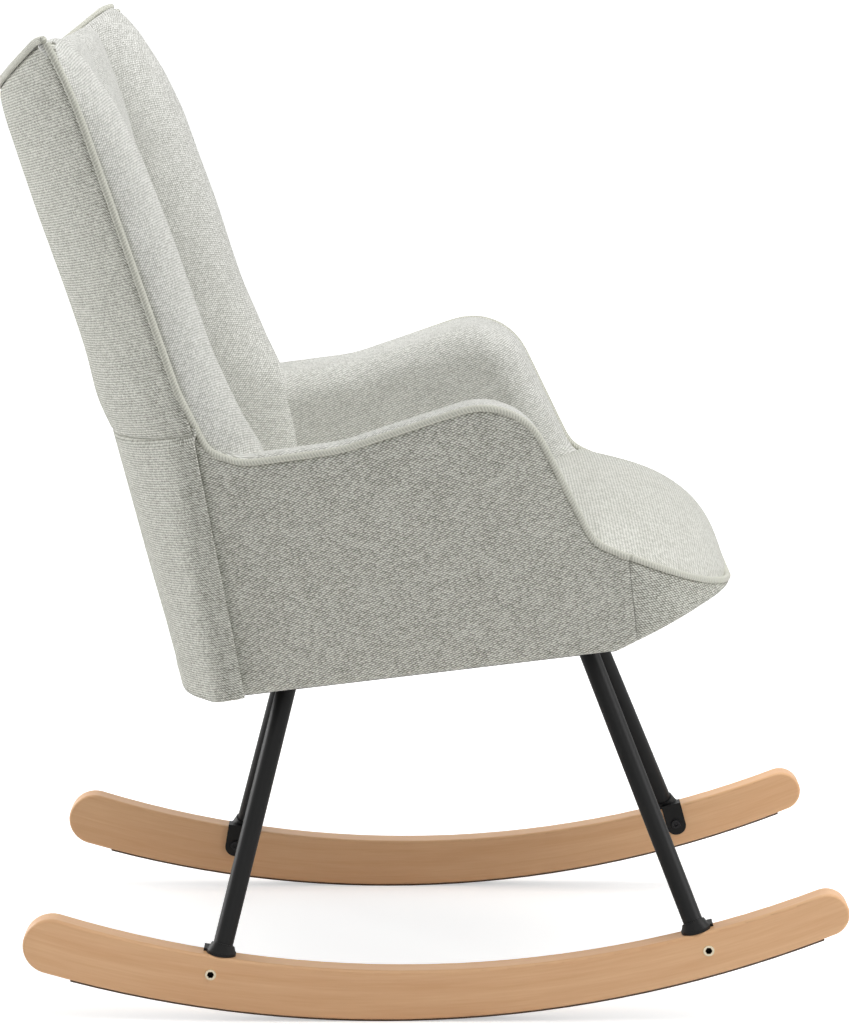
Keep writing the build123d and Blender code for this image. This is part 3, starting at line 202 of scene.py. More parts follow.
# Welt cords
welt_radius = 3.4
welt_step = 3.0
welt_ledge = 7.0
welt_lift = 1.5
welt_inset = 2.5
welt_end_inset = 3.0
wing_welt_foot_s = 34.0
wing_welt_n = 3.6
welt_bend = (-172.0, 264.0)
arm_welt_start_u = -158.0
top_welt_edge_n = 68.0
top_welt_n = 5.0
front_welt_lift = 2.5

# In metres: the centre of the runners' arc
rocking_centre = (-0.038, 1.2)


# Coordinates of the seat, its sides and the back
def seat_xyz(u, y, h):
    """Points from seat coordinates: u forward, y to the left, h up from the seat plane."""
    u, y, h = np.broadcast_arrays(np.asarray(u, float), y, h)
    x = u * math.cos(seat_tilt) - h * math.sin(seat_tilt)
    z = seat_z + u * math.sin(seat_tilt) + h * math.cos(seat_tilt)
    return np.stack([x, y, z], -1) * MM


def side_xyz(u, v, depth, hand):
    """Points from a side panel's coordinates; hand is -1 on the right and 1 on the left."""
    h = v * math.cos(flare) + depth * math.sin(flare)
    y = hand * (seat_half + v * math.sin(flare) - depth * math.cos(flare))
    return seat_xyz(u, y, h)


def back_xyz(x, s, n):
    """Points from back coordinates: x to the right, s up along the back, n forward."""
    x, s, n = np.broadcast_arrays(np.asarray(x, float), s, n)
    forward = back_x - s * math.sin(back_tilt) + n * math.cos(back_tilt)
    up = back_z + s * math.cos(back_tilt) + n * math.sin(back_tilt)
    return np.stack([forward, -x, up], -1) * MM


def half_at(h):
    """Half width over the flared sides at height h."""
    return seat_half + h * math.tan(flare)


def rim_h(u):
    """Height of the sloping rim of the seat's nose."""
    return nose_h + (nose_u - np.asarray(u, float)) * rim_slope


def nose_half(u, h, inset):
    """Half width of the nose, which is round in plan, inside its outer face by an inset."""
    radius = nose_corner - inset
    past = np.maximum(np.asarray(u, float) - (nose_u - nose_corner), 0)
    return half_at(h) - inset / math.cos(flare) - radius + np.sqrt(np.maximum(radius**2 - past**2, 0))


def nose_places(count, inset):
    """Places u from the side seam round to the front of the nose, closer together at the front."""
    turn = np.linspace(0, math.pi / 2, count)
    return nose_u - nose_corner + (nose_corner - inset) * np.sin(turn)


# Lines and unevenness
def lengths_along(points):
    """Length from the first point to each point of a line, or of every line in a grid."""
    steps = np.linalg.norm(np.diff(points, axis=-2), axis=-1)
    return np.insert(np.cumsum(steps, axis=-1), 0, 0, axis=-1)


def unit(vectors):
    """The vectors at length 1."""
    return vectors / np.linalg.norm(vectors, axis=-1, keepdims=True)


def eased(points, turns):
    """The points with their bends eased and their ends kept."""
    for _ in range(turns):
        points[1:-1] = (points[:-2] + 2 * points[1:-1] + points[2:]) / 4
    return points


def resample(points, count):
    """The same line with evenly spaced points."""
    points = np.asarray(points, float)
    along = lengths_along(points)
    stops = np.linspace(0, along[-1], count)
    return np.stack([np.interp(stops, along, column) for column in points.T], -1)


def rounded_line(corners, radii):
    """A line through corners, each inner one rounded by its radius."""
    nearly_straight = 1.56
    arc_points = 13
    corners = [np.asarray(c, float) for c in corners]
    line = [corners[0]]
    for before, corner, after, radius in zip(corners, corners[1:], corners[2:], radii):
        back, ahead = unit(before - corner), unit(after - corner)
        half = math.acos(np.clip(back @ ahead, -1, 1)) / 2
        if half > nearly_straight or radius <= 0:
            line.append(corner)
            continue
        centre = corner + unit(back + ahead) * radius / math.sin(half)
        start = corner + back * radius / math.tan(half) - centre
        end = corner + ahead * radius / math.tan(half) - centre
        turn = math.pi - 2 * half
        for t in np.linspace(0, 1, arc_points):
            mixed = (start * math.sin((1 - t) * turn) + end * math.sin(t * turn)) / math.sin(turn)
            line.append(centre + mixed)
    line.append(corners[-1])
    return np.array(line)


def three_point_arc(a, b, c, count):
    """Evenly spaced points on the arc from a through b to c."""
    (ax, ay), (bx, by), (cx, cy) = a, b, c
    d = 2 * (ax * (by - cy) + bx * (cy - ay) + cx * (ay - by))
    aa, bb, cc = ax * ax + ay * ay, bx * bx + by * by, cx * cx + cy * cy
    ox = (aa * (by - cy) + bb * (cy - ay) + cc * (ay - by)) / d
    oy = (aa * (cx - bx) + bb * (ax - cx) + cc * (bx - ax)) / d
    angles = np.unwrap([math.atan2(y - oy, x - ox) for x, y in (a, b, c)])
    sweep = np.linspace(angles[0], angles[-1], count)
    radius = math.hypot(ax - ox, ay - oy)
    return np.stack([ox + radius * np.cos(sweep), oy + radius * np.sin(sweep)], -1)


def cloth_uv(points):
    """Real lengths across and along a grid of points, from its middle column."""
    middle = points.shape[1] // 2
    across = lengths_along(points)
    along = lengths_along(points[:, middle])[:, None] + np.zeros_like(across)
    return np.stack([across - across[:, middle : middle + 1], along], -1)


def nose_bow(u, y):
    """Bow of the seat's front edge beyond its straight run."""
    across = 1 - (np.asarray(y, float) / front_bow_half) ** 2
    return front_bow * across * smooth_step(u, front_bow_start_u, nose_u)


def roll(distance, depth, width):
    """How far a cloth draws in at a distance from its seam: a quarter round."""
    t = np.clip(1 - np.asarray(distance, float) / width, 0, 1)
    return depth * (1 - np.sqrt(1 - t * t))


def ripple(a, b, size, seed):
    """Smooth unevenness of about -1 to 1 over a grid of two coordinates."""
    a, b = np.broadcast_arrays(np.asarray(a, float), b)
    values = [noise.noise((p / size, q / size, seed)) for p, q in zip(a.ravel(), b.ravel())]
    return np.array(values).reshape(a.shape)


def smooth_step(x, low, high):
    """Rises smoothly from 0 at low to 1 at high."""
    t = np.clip((np.asarray(x, float) - low) / (high - low), 0, 1)
    return t * t * (3 - 2 * t)


# Materials
weave_stagger = 0.58
weave_bead = (0.00265, 0.0025)
seat_bead = (0.0032, 0.0029)


def material(name, roughness, metallic=0.0):
    """A new material; returns it with its node tree and shader."""
    made = bpy.data.materials.new(name)
    made.use_nodes = True
    shader = made.node_tree.nodes["Principled BSDF"]
    shader.inputs["Roughness"].default_value = roughness
    shader.inputs["Metallic"].default_value = metallic
    return made, made.node_tree, shader


def add(tree, kind, **inputs):
    """A new shader node with some input values set; an underscore in a name stands for a space."""
    node = tree.nodes.new("ShaderNode" + kind)
    for name, value in inputs.items():
        node.inputs[name.replace("_", " ")].default_value = value
    return node


def link(output, socket):
    """Joins two sockets of one node tree."""
    output.id_data.links.new(output, socket)


def linear(red, green, blue):
    """A colour given in display values from 0 to 255."""
    values = [c / 255 for c in (red, green, blue)]
    return [c / 12.92 if c <= 0.04045 else ((c + 0.055) / 1.055) ** 2.4 for c in values] + [1.0]


def mix_colours(tree, shader, factor, first, second):
    """Colours a shader with two colours, mixed by a factor socket."""
    first_colour, second_colour, mixed_colour = 6, 7, 2
    node = add(tree, "Mix")
    node.data_type = "RGBA"
    node.inputs[first_colour].default_value = first
    node.inputs[second_colour].default_value = second
    link(factor, node.inputs[0])
    link(node.outputs[mixed_colour], shader.inputs["Base Color"])


def roughen(tree, shader, height, strength, distance):
    """Raises a shader's surface by a height socket."""
    bump = add(tree, "Bump", Strength=strength, Distance=distance)
    link(height, bump.inputs["Height"])
    link(bump.outputs[0], shader.inputs["Normal"])


def plain(name, colour, roughness, metallic=0.0, grain=0.0, grain_scale=900, shine=0.5):
    """One colour, with a fine grain in the surface if wanted."""
    made, tree, shader = material(name, roughness, metallic)
    shader.inputs["Specular IOR Level"].default_value = shine
    shader.inputs["Base Color"].default_value = colour
    if grain:
        place = add(tree, "TexCoord")
        speckle = add(tree, "TexNoise", Scale=grain_scale, Detail=2.0)
        link(place.outputs["Object"], speckle.inputs["Vector"])
        roughen(tree, shader, speckle.outputs[0], grain, 0.0004)
    return made


def maths(tree, operation, first, second=None):
    """A maths node on sockets or numbers."""
    node = add(tree, "Math")
    node.operation = operation
    for place, value in enumerate((first, second)):
        if isinstance(value, (int, float)):
            node.inputs[place].default_value = value
        elif value is not None:
            link(value, node.inputs[place])
    return node.outputs[0]


def cloth_shader(name):
    """A new cloth: dull, with a faint sheen."""
    made, tree, shader = material(name, 0.92)
    shader.inputs["Specular IOR Level"].default_value = 0.2
    shader.inputs["Sheen Weight"].default_value = 0.15
    return made, tree, shader


def woven(name, rise, light, dark, bead=weave_bead):
    """Cloth of short thick threads in staggered rows that rise at an angle."""
    made, tree, shader = cloth_shader(name)
    place = add(tree, "TexCoord")
    turn = math.radians(rise)
    row = np.array([math.cos(turn), math.sin(turn)]) / bead[0]
    stack = np.array([-math.sin(turn), math.cos(turn)]) / bead[1]
    lattice = add(tree, "CombineXYZ")
    for axis, way in enumerate((row + weave_stagger * stack, stack)):
        count = add(tree, "VectorMath")
        count.operation = "DOT_PRODUCT"
        count.inputs[1].default_value = (way[0], way[1], 0)
        link(place.outputs["UV"], count.inputs[0])
        link(count.outputs["Value"], lattice.inputs[axis])
    threads = add(tree, "TexVoronoi", Scale=1.0, Randomness=0.22)
    threads.voronoi_dimensions = "2D"
    round_top = add(tree, "MapRange", From_Min=0.1, From_Max=0.66, To_Min=1.0, To_Max=0.0)
    own = add(tree, "SeparateColor")
    fuzz = add(tree, "TexNoise", Scale=900.0, Detail=2.0)
    cloud = add(tree, "TexNoise", Scale=38.0, Detail=3.0)
    link(lattice.outputs[0], threads.inputs["Vector"])
    link(place.outputs["UV"], fuzz.inputs["Vector"])
    link(place.outputs["UV"], cloud.inputs["Vector"])
    link(threads.outputs["Distance"], round_top.inputs["Value"])
    link(threads.outputs["Color"], own.inputs[0])
    tone = round_top.outputs["Result"]
    for value, share in ((own.outputs[0], 0.3), (fuzz.outputs[0], 0.6), (cloud.outputs[0], 0.2)):
        swing = maths(tree, "MULTIPLY", maths(tree, "SUBTRACT", value, 0.5), share)
        tone = maths(tree, "ADD", tone, swing)
    factor = add(tree, "Clamp")
    link(tone, factor.inputs["Value"])
    mix_colours(tree, shader, factor.outputs[0], dark, light)
    roughen(tree, shader, tone, 0.5, 0.0007)
    return made


def ribbed(name, light, dark):
    """Cloth round a cord: fine ribs across it, a little slanted."""
    made, tree, shader = cloth_shader(name)
    place = add(tree, "TexCoord")
    turned = add(tree, "Mapping")
    turned.inputs["Rotation"].default_value = (0, 0, math.radians(24))
    ribs = add(tree, "TexWave", Scale=112.0, Distortion=1.6, Detail=1.5)
    fuzz = add(tree, "TexNoise", Scale=700.0, Detail=2.0)
    link(place.outputs["UV"], turned.inputs["Vector"])
    link(turned.outputs[0], ribs.inputs["Vector"])
    link(place.outputs["UV"], fuzz.inputs["Vector"])
    uneven = maths(tree, "MULTIPLY", fuzz.outputs[0], 0.6)
    tone = maths(tree, "ADD", maths(tree, "MULTIPLY", ribs.outputs["Fac"], 0.55), uneven)
    mix_colours(tree, shader, tone, dark, light)
    roughen(tree, shader, tone, 0.5, 0.0006)
    return made


def socket_with_painted_shade(name, rim, socket_shade, face_y):
    """Bright rim round a socket with painted shade: what lies behind the outer face is coloured dark in
    place of the shade in its recess.
    """
    hole_depth, rim_depth = 0.0016, 0.0013
    made, tree, shader = material(name, 0.35, 1.0)
    place = add(tree, "NewGeometry")
    parts = add(tree, "SeparateXYZ")
    # Mask of the painted shade: dark behind the outer face, bright rim in front of it
    front = add(tree, "MapRange", From_Min=face_y - hole_depth, From_Max=face_y - rim_depth)
    link(place.outputs["Position"], parts.inputs[0])
    link(maths(tree, "ABSOLUTE", parts.outputs["Y"]), front.inputs["Value"])
    mix_colours(tree, shader, front.outputs["Result"], socket_shade, rim)
    return made


def curved_wood(name, light, dark):
    """Wood whose grain follows the runners round the rocking centre."""
    made, tree, shader = material(name, 0.42)
    shader.inputs["Coat Weight"].default_value = 0.15
    shader.inputs["Coat Roughness"].default_value = 0.3
    place = add(tree, "TexCoord")
    split = add(tree, "SeparateXYZ")
    link(place.outputs["Object"], split.inputs[0])
    x = maths(tree, "SUBTRACT", split.outputs[0], rocking_centre[0])
    z = maths(tree, "SUBTRACT", rocking_centre[1], split.outputs[2])
    angle = maths(tree, "ARCTAN2", x, z)
    squares = [maths(tree, "MULTIPLY", value, value) for value in (x, z)]
    radius = maths(tree, "SQRT", maths(tree, "ADD", *squares))
    grain_place = add(tree, "CombineXYZ")
    for axis, (value, scale) in enumerate(((angle, 3.0), (split.outputs[1], 40.0), (radius, 60.0))):
        link(maths(tree, "MULTIPLY", value, scale), grain_place.inputs[axis])
    figure = add(tree, "TexNoise", Scale=1.6, Detail=5.0, Roughness=0.6)
    fleck = add(tree, "TexNoise", Scale=9.0, Detail=2.0)
    link(grain_place.outputs[0], figure.inputs["Vector"])
    link(grain_place.outputs[0], fleck.inputs["Vector"])
    parts = ((figure, 0.65), (fleck, 0.35))
    shares = [maths(tree, "MULTIPLY", node.outputs[0], share) for node, share in parts]
    both = maths(tree, "ADD", *shares)
    sharp = add(tree, "MapRange", From_Min=0.3, From_Max=0.7)
    link(both, sharp.inputs["Value"])
    mix_colours(tree, shader, sharp.outputs["Result"], dark, light)
    return made


def straight_wood(name, light, dark):
    """Plain frame wood with a straight grain."""
    made, tree, shader = material(name, 0.6)
    place = add(tree, "TexCoord")
    stretched = add(tree, "Mapping")
    stretched.inputs["Scale"].default_value = (8, 60, 60)
    figure = add(tree, "TexNoise", Scale=2.0, Detail=4.0)
    link(place.outputs["Object"], stretched.inputs["Vector"])
    link(stretched.outputs[0], figure.inputs["Vector"])
    mix_colours(tree, shader, figure.outputs[0], dark, light)
    return made


cloth_colours = (linear(242, 242, 233), linear(114, 114, 101))
# Painted light: the inner faces and the seat are the same cloth as the sides, painted lighter and flatter
# where the lamps fall more on them
lit_inner_colours = (linear(241, 241, 236), linear(164, 164, 157))
lit_seat_colours = (linear(234, 234, 227), linear(166, 166, 156))
cloth_side = woven("cloth_side", 33, *cloth_colours)
cloth_back = woven("cloth_back", 2, *cloth_colours)
cloth_inner_painted_light = woven("cloth_inner_painted_light", 32, *lit_inner_colours)
cloth_seat_painted_light = woven("cloth_seat_painted_light", 0, *lit_seat_colours, seat_bead)
cloth_welt = ribbed("cloth_welt", linear(228, 228, 217), linear(168, 168, 155))

nut = frame["nodes"]["runner_sleeve_nuts"]
nut_face = max(abs((nut.matrix_world @ corner.co).y) for corner in nut.data.vertices)
own_materials = {
    "seat_springs": plain("spring_steel", linear(120, 118, 112), 0.4, 0.9),
    # The dark second colour is painted shade in the nut's socket
    "runner_sleeve_nuts": socket_with_painted_shade("sleeve_nut", linear(226, 214, 188), linear(16, 14, 12), nut_face),
}
slot_materials = {
    "woven_cloth": cloth_side,
    "welt_cloth": cloth_welt,
    "runner_wood": curved_wood("runner_wood", linear(241, 195, 148), linear(227, 174, 126)),
    "frame_wood": straight_wood("frame_wood", linear(222, 196, 158), linear(196, 164, 122)),
    "black_powder_coat": plain("black_powder_coat", linear(22, 22, 22), 0.4, grain=0.25, shine=0.22),
    "black_steel": plain("black_steel", linear(40, 40, 42), 0.35, 0.6),
    "bright_zinc": plain("bright_zinc", linear(205, 205, 202), 0.28, 1.0),
    "grip_rubber": plain("grip_rubber", linear(84, 66, 53), 0.8, grain=0.3),
    "padding": plain("foam", linear(228, 222, 196), 0.95, grain=0.5, grain_scale=400),
    "webbing": plain("web_cloth", linear(70, 68, 64), 0.9, grain=0.5, grain_scale=700),
    "dust_cloth": plain("dust_cloth", linear(30, 30, 31), 0.95, grain=0.5, grain_scale=1200),
    "tape": plain("tape_cloth", linear(200, 199, 190), 0.95, grain=0.6, grain_scale=1500),
}


# Pieces
def grid_faces(rows, columns):
    """Four-sided faces over a grid of points."""
    return [
        (r * columns + c, r * columns + c + 1, (r + 1) * columns + c + 1, (r + 1) * columns + c)
        for r in range(rows - 1)
        for c in range(columns - 1)
    ]


def outward_faces(points, faces, outward):
    """The faces, turned round if the middle of the grid looks the wrong way."""
    rows, columns = points.shape[:2]
    r, c = rows // 2, columns // 2
    across = points[r, c + 1] - points[r, c - 1]
    up = points[r + 1, c] - points[r - 1, c]
    if np.dot(np.cross(across, up), outward) < 0:
        return [tuple(reversed(face)) for face in faces]
    return faces


def make_object(name, vertices, faces, uv, cover, nodes):
    """A smooth mesh object with cloth coordinates in metres, in place of some CAD nodes."""
    mesh = bpy.data.meshes.new(name)
    mesh.from_pydata([tuple(v) for v in vertices], [], faces)
    layer = mesh.uv_layers.new(name="cloth")
    corners = np.empty(len(mesh.loops), np.int32)
    mesh.loops.foreach_get("vertex_index", corners)
    layer.data.foreach_set("uv", np.asarray(uv, np.float32)[corners].ravel())
    mesh.polygons.foreach_set("use_smooth", [True] * len(mesh.polygons))
    mesh.materials.append(cover)
    piece = bpy.data.objects.new(name, mesh)
    bpy.context.scene.collection.objects.link(piece)
    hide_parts(*nodes)
    return piece


def panel(name, points, uv, cover, nodes, outward, thickness):
    """A cloth-covered panel from a grid of points on its outer face."""
    rows, columns = points.shape[:2]
    faces = outward_faces(points, grid_faces(rows, columns), outward)
    piece = make_object(name, points.reshape(-1, 3), faces, uv.reshape(-1, 2), cover, nodes)
    shell = piece.modifiers.new("thickness", "SOLIDIFY")
    shell.thickness = thickness * MM
    shell.offset = -1
    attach(piece, "chair")
    return piece


def slab(name, front, back, uv, cover, nodes, outward):
    """A closed pad between a front and a back grid of points."""
    rows, columns = front.shape[:2]
    count = rows * columns
    faces = outward_faces(front, grid_faces(rows, columns), outward)
    turned = faces != grid_faces(rows, columns)
    rear = [tuple(i + count for i in reversed(face)) for face in faces]
    first_row = list(range(columns))
    last_column = [r * columns + columns - 1 for r in range(1, rows)]
    last_row = [(rows - 1) * columns + c for c in range(columns - 2, -1, -1)]
    first_column = [r * columns for r in range(rows - 2, 0, -1)]
    rim = first_row + last_column + last_row + first_column
    sides = [(b, a, a + count, b + count) for a, b in zip(rim, rim[1:] + rim[:1])]
    if turned:
        sides = [tuple(reversed(side)) for side in sides]
    vertices = np.concatenate([front.reshape(-1, 3), back.reshape(-1, 3)])
    both_uv = np.concatenate([uv.reshape(-1, 2)] * 2)
    return make_object(name, vertices, faces + rear + sides, both_uv, cover, nodes)


def tube(name, path, nodes):
    """A welt's cord along a path of points in metres."""
    sides = 12
    radius = welt_radius * MM
    tangents = unit(np.gradient(path, axis=0))
    normal = np.cross(tangents[0], (0.3, 0.5, 0.8))
    vertices, uv, faces = [], [], []
    for tangent, centre, length in zip(tangents, path, lengths_along(path)):
        normal = unit(normal - tangent * np.dot(normal, tangent))
        other = np.cross(tangent, normal)
        for k in range(sides):
            turn = 2 * math.pi * k / sides
            vertices.append(centre + (normal * math.cos(turn) + other * math.sin(turn)) * radius)
            uv.append((length, radius * turn))
    for i in range(len(path) - 1):
        for k in range(sides):
            j = (k + 1) % sides
            faces.append((i * sides + k, i * sides + j, (i + 1) * sides + j, (i + 1) * sides + k))
    faces.append(tuple(range(sides - 1, -1, -1)))
    faces.append(tuple((len(path) - 1) * sides + k for k in range(sides)))
    piece = make_object(name, vertices, faces, uv, cloth_welt, nodes)
    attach(piece, "chair")


# Side panels; the cloth draws in at each seam by a depth within a width
side_rolls = {"top": (5.5, 6.5), "low": (4, 8), "seam": (0.6, 3), "rear": (2.5, 7)}
arm_line = resample(rounded_line(arm_corners, arm_radii), 420)
bow_line = three_point_arc(*bow_points, 200)


def arm_v(u):
    """Height of the arm line on the side panel."""
    return np.interp(u, arm_line[:, 0], arm_line[:, 1])


def bow_v(u):
    """Height of the panel's lower edge, which rises towards the nose."""
    risen = np.interp(u, bow_line[:, 0], bow_line[:, 1])
    return np.where(np.asarray(u) <= bow_points[0][0], 0.0, risen)


def distance_to(line, a, b):
    """Least distance of each grid point to a line."""
    flat = np.stack([a.ravel(), b.ravel()], -1)
    gaps = np.linalg.norm(flat[:, None, :] - line[None, ::3, :], axis=2)
    return gaps.min(axis=1).reshape(a.shape)


def side_panel(hand, word):
    """Outer face of one side, drawn in at its seams and slightly full."""
    rows, columns = 56, 110
    kept = arm_line[arm_line[:, 0] < side_seam_u - 1]
    line = resample(np.vstack([kept, [side_seam_u + 0.2, arm_v(side_seam_u)]]), columns)
    u = np.broadcast_to(line[:, 0], (rows, columns))
    v = bow_v(u) + np.linspace(0, 1, rows)[:, None] * (line[:, 1] - bow_v(u))
    gaps = {
        "top": distance_to(arm_line, u, v),
        "low": v - bow_v(u),
        "seam": side_seam_u - u,
        "rear": u - side_rear_u,
    }
    near = np.minimum.reduce(list(gaps.values()))
    depth = sum(roll(gap, *side_rolls[seam]) for seam, gap in gaps.items())
    depth = depth - side_fullness * smooth_step(near, 0, 70)
    depth = depth - side_ripple * ripple(u, v, 75, hand) * smooth_step(near, 0, 30)
    points = side_xyz(u, v, depth, hand)
    uv = np.stack([-hand * u, v], -1) * MM
    nodes = [f"side_cover_{word}"]
    piece = panel(f"side_panel_{word}", points, uv, cloth_side, nodes, (0, hand, 0), panel_thickness)


# Apron
def apron_section(u, top_h, low_h, inset):
    """Points across the bow, up both cheeks, at one place u."""
    corner = min(apron_fold, 0.4 * (top_h - low_h))
    low_half = nose_half(u, low_h, inset)
    top_half = nose_half(u, top_h, inset)
    corners = ((-top_half, top_h), (-low_half, low_h), (low_half, low_h), (top_half, top_h))
    line = resample(rounded_line(corners, (corner, corner)), apron_points)
    below = (top_h - line[:, 1]) / math.cos(flare)
    drawn = roll(u - side_seam_u, *side_rolls["seam"]) * (line[:, 1] > low_h + 1)
    drawn = np.minimum(roll(below, *apron_top_roll) + drawn, apron_most_drawn)
    cheek = smooth_step(np.abs(line[:, 0]), low_half - corner - 4, low_half)
    y = line[:, 0] - np.sign(line[:, 0]) * drawn * cheek
    return np.stack([np.full(apron_points, u), y, line[:, 1]], -1)


def apron_uv(grid, points):
    """Cloth coordinates of the apron: round the nose on its cheeks, straight forward underneath."""
    along = lengths_along(points)
    down = np.minimum(along, along[:, -1:] - along)
    u = grid[:, :1, 0]
    past = np.maximum(u - (nose_u - nose_corner), 0)
    round_u = u - past + nose_corner * np.arcsin(past / nose_corner)
    cheek = 1 - smooth_step(down / MM, *apron_cheek_end)
    forward = (u + (round_u - u) * cheek) * MM
    up = grid[:, :1, 2] * MM / math.cos(flare) - down
    return np.stack([forward, up], -1)


def apron():
    """Front apron: a bow under the nose with a cheek round each front corner."""
    sections = []
    for u in np.linspace(apron_tuck_u, side_seam_u - 0.5, 6):
        low_h = bow_v(u) * math.cos(flare)
        sections.append(apron_section(u, low_h + apron_tuck_height, low_h, apron_tuck_inset))
    for u in nose_places(56, 0.3):
        low_h = bow_v(u) * math.cos(flare)
        sections.append(apron_section(u, max(rim_h(u), low_h + 0.4), low_h, 0))
    grid = np.array(sections)
    u, y, h = grid[..., 0], grid[..., 1], grid[..., 2]
    points = seat_xyz(u + nose_bow(u, y), y, h)
    uv = apron_uv(grid, points)
    nodes = ["front_apron"]
    piece = panel("front_apron_cloth", points, uv, cloth_back, nodes, (0, 0, -1), panel_thickness)


# Seat cushion
def cushion_profile():
    """Middle line of the seat: up its rear, along its crown and down to the nose's rim."""
    roundness = 0.56
    share = np.sin(np.linspace(0, math.pi / 2, 50)[1:])
    front_u = cushion_front_u + (cushion_end_u - cushion_front_u) * share
    end_h = rim_h(cushion_end_u) + 4
    front_h = end_h + (cushion_crown - end_h) * (1 - share**2) ** roundness
    u, h = np.append(cushion_rear_u, front_u), np.append(cushion_rear_h, front_h)
    return eased(resample(np.stack([u, h], -1), 150), 3)


def cushion():
    """Crowned seat between the arms, widening in front of them and rolling down to the nose's rim."""
    columns = 111
    spacing, squareness, softness = 1.3, 2.3, 0.72
    profile = cushion_profile()
    u, crown = profile[:, :1], profile[:, 1:]
    in_front = u > cushion_front_u
    edge = np.where(in_front, rim_h(u) + 1.0, np.interp(u, cushion_edge_u, cushion_edge_h))
    edge = np.minimum(np.minimum(edge, crown - 0.5), cushion_edge_h[-1])
    beside_arm = 1 - smooth_step(u, *cushion_arm_u)
    full = nose_half(u, edge, cushion_inset + cushion_arm_inset * beside_arm)
    between = np.minimum(full, arm_inner - cushion_gap)
    wide = smooth_step(u, *cushion_wide_u)
    half = between + (full - between) * wide
    t = np.linspace(-1, 1, columns)[None, :]
    y = half * np.sign(t) * (1 - (1 - np.abs(t)) ** spacing)
    round_top = 1 - (y / full) ** 2
    full_top = np.maximum(1 - np.abs(y / full) ** squareness, 0) ** softness
    h = edge + (crown - edge) * (round_top + (full_top - round_top) * wide)
    gap = half - np.abs(y)
    h = h - roll(gap, *cushion_side_roll) * (1 - wide)
    h = h + cushion_ripple * ripple(u, y, 85, 4.0) * smooth_step(gap, 0, 60)
    bowed_u = u + nose_bow(u, y)
    front = seat_xyz(bowed_u, y, h)
    raised = cushion_base_h + (edge - cushion_skirt - cushion_base_h) * wide
    base = np.where(in_front, rim_h(u) + 0.5, raised)
    back = seat_xyz(bowed_u, y, np.minimum(base, h - 0.4))
    uv = cloth_uv(front)
    piece = slab("seat_cushion_cloth", front, back, uv, cloth_seat_painted_light, ["seat_cushion"], (0, 0, 1))
    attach(piece, "chair")


# Arm pads
def arm_profile(outer, crown):
    """Line from the welt over the arm to its inner face: place across, height over the arm line."""
    roll_share, shoulder_share, crest_share = 0.75, 0.55, 0.6
    radius = min(arm_roll, roll_share * (outer - arm_inner))
    flat = arm_inner + radius
    turn = np.linspace(0, math.pi / 2, 14)
    shoulder = shoulder_share * crown
    span = outer - flat
    crest = min(arm_crest, crest_share * span)
    top = [
        (outer, -2.5),
        (outer - crest / 6, 0.2),
        (outer - crest / 2, 0.8 * crown),
        (outer - crest, crown),
        (outer - (crest + span) / 2, (crown + shoulder) / 2),
    ]
    down = np.stack([flat - radius * np.sin(turn), shoulder - radius * (1 - np.cos(turn))], -1)
    return resample(np.vstack([top, down]), 34)


def arm_pad(hand, word):
    """Padded arm: from the welt over the top and down the inner face."""
    along = lengths_along(arm_line)
    ends = np.interp((arm_start_u, arm_stop_u), arm_line[:, 0], along)
    stops = np.linspace(*ends, 120)
    line = np.stack([np.interp(stops, along, column) for column in arm_line.T], -1)
    h = line[:, 1] * math.cos(flare)
    slopes = unit(np.gradient(np.stack([line[:, 0], h], -1), axis=0))
    outer = seat_half + line[:, 1] * math.sin(flare) - arm_welt_inset
    crowns = np.interp(line[:, 0], arm_crown_u, arm_crown)
    foot_u = np.linspace(arm_start_u, arm_foot_u, len(line))
    share = np.linspace(0, 1, 16)[1:]
    inner = arm_inner + arm_fullness * np.sin(share * math.pi)
    sections, places = [], []
    for i, slope in enumerate(slopes):
        profile = arm_profile(outer[i], crowns[i])
        edge_u = line[i, 0] - slope[1] * profile[:, 1]
        edge_h = h[i] + slope[0] * profile[:, 1]
        low_u = edge_u[-1] + (foot_u[i] - edge_u[-1]) * share
        low_h = edge_h[-1] + (min(arm_foot_h, edge_h[-1] - 1) - edge_h[-1]) * share
        upper = np.stack([edge_u, profile[:, 0], edge_h], -1)
        sections.append(np.vstack([upper, np.stack([low_u, inner, low_h], -1)]))
        unrolled = lengths_along(profile[::-1])[::-1, None]
        laid = np.array([edge_u[-1], edge_h[-1]]) + unrolled * (-slope[1], slope[0])
        places.append(np.vstack([laid, np.stack([low_u, low_h], -1)]))
    grid = np.stack(sections, 1)
    points = seat_xyz(grid[..., 0], hand * grid[..., 1], grid[..., 2])
    uv = np.stack(places, 1) * (hand * MM, MM)
    nodes = [f"arm_pad_{word}"]
    piece = panel(f"arm_pad_cloth_{word}", points, uv, cloth_inner_painted_light, nodes, (0, -hand, 1), panel_thickness)


# Back
def wing_half(s):
    """Half width of the back over the wings' outer edges."""
    return wing_foot_half + wing_spread * np.asarray(s, float) / tip_s


def wing_edge_n(s):
    """Place of the wings' outer edge."""
    share = np.maximum(0.0, (np.asarray(s, float) - wing_bend_s) / wing_bend_run)
    return wing_edge - wing_bend_fall * share**2


def cover_radius(half, edge_n):
    """Radius of the back cover's arc from edge to edge."""
    rise = edge_n - back_rear_n
    return (half**2 + rise**2) / (2 * rise)


def cover_n(x, half, edge_n):
    """Place of the back cover's arc at a width x."""
    radius = cover_radius(half, edge_n)
    return back_rear_n + radius - np.sqrt(np.maximum(radius**2 - np.asarray(x, float) ** 2, 0))


def top_line_s(n, drop):
    """Height of the plane of the back's upper edge, less a drop."""
    return top_rear_s - drop + math.tan(top_rise) * (np.asarray(n, float) - back_rear_n)


def tip_drop(x):
    """Fall of the back's upper edge as it rounds the corner at each tip."""
    past = np.abs(np.asarray(x, float)) - wing_half(tip_s) + tip_reach
    return tip_fall * np.clip(past / tip_reach, 0, 1) ** 2


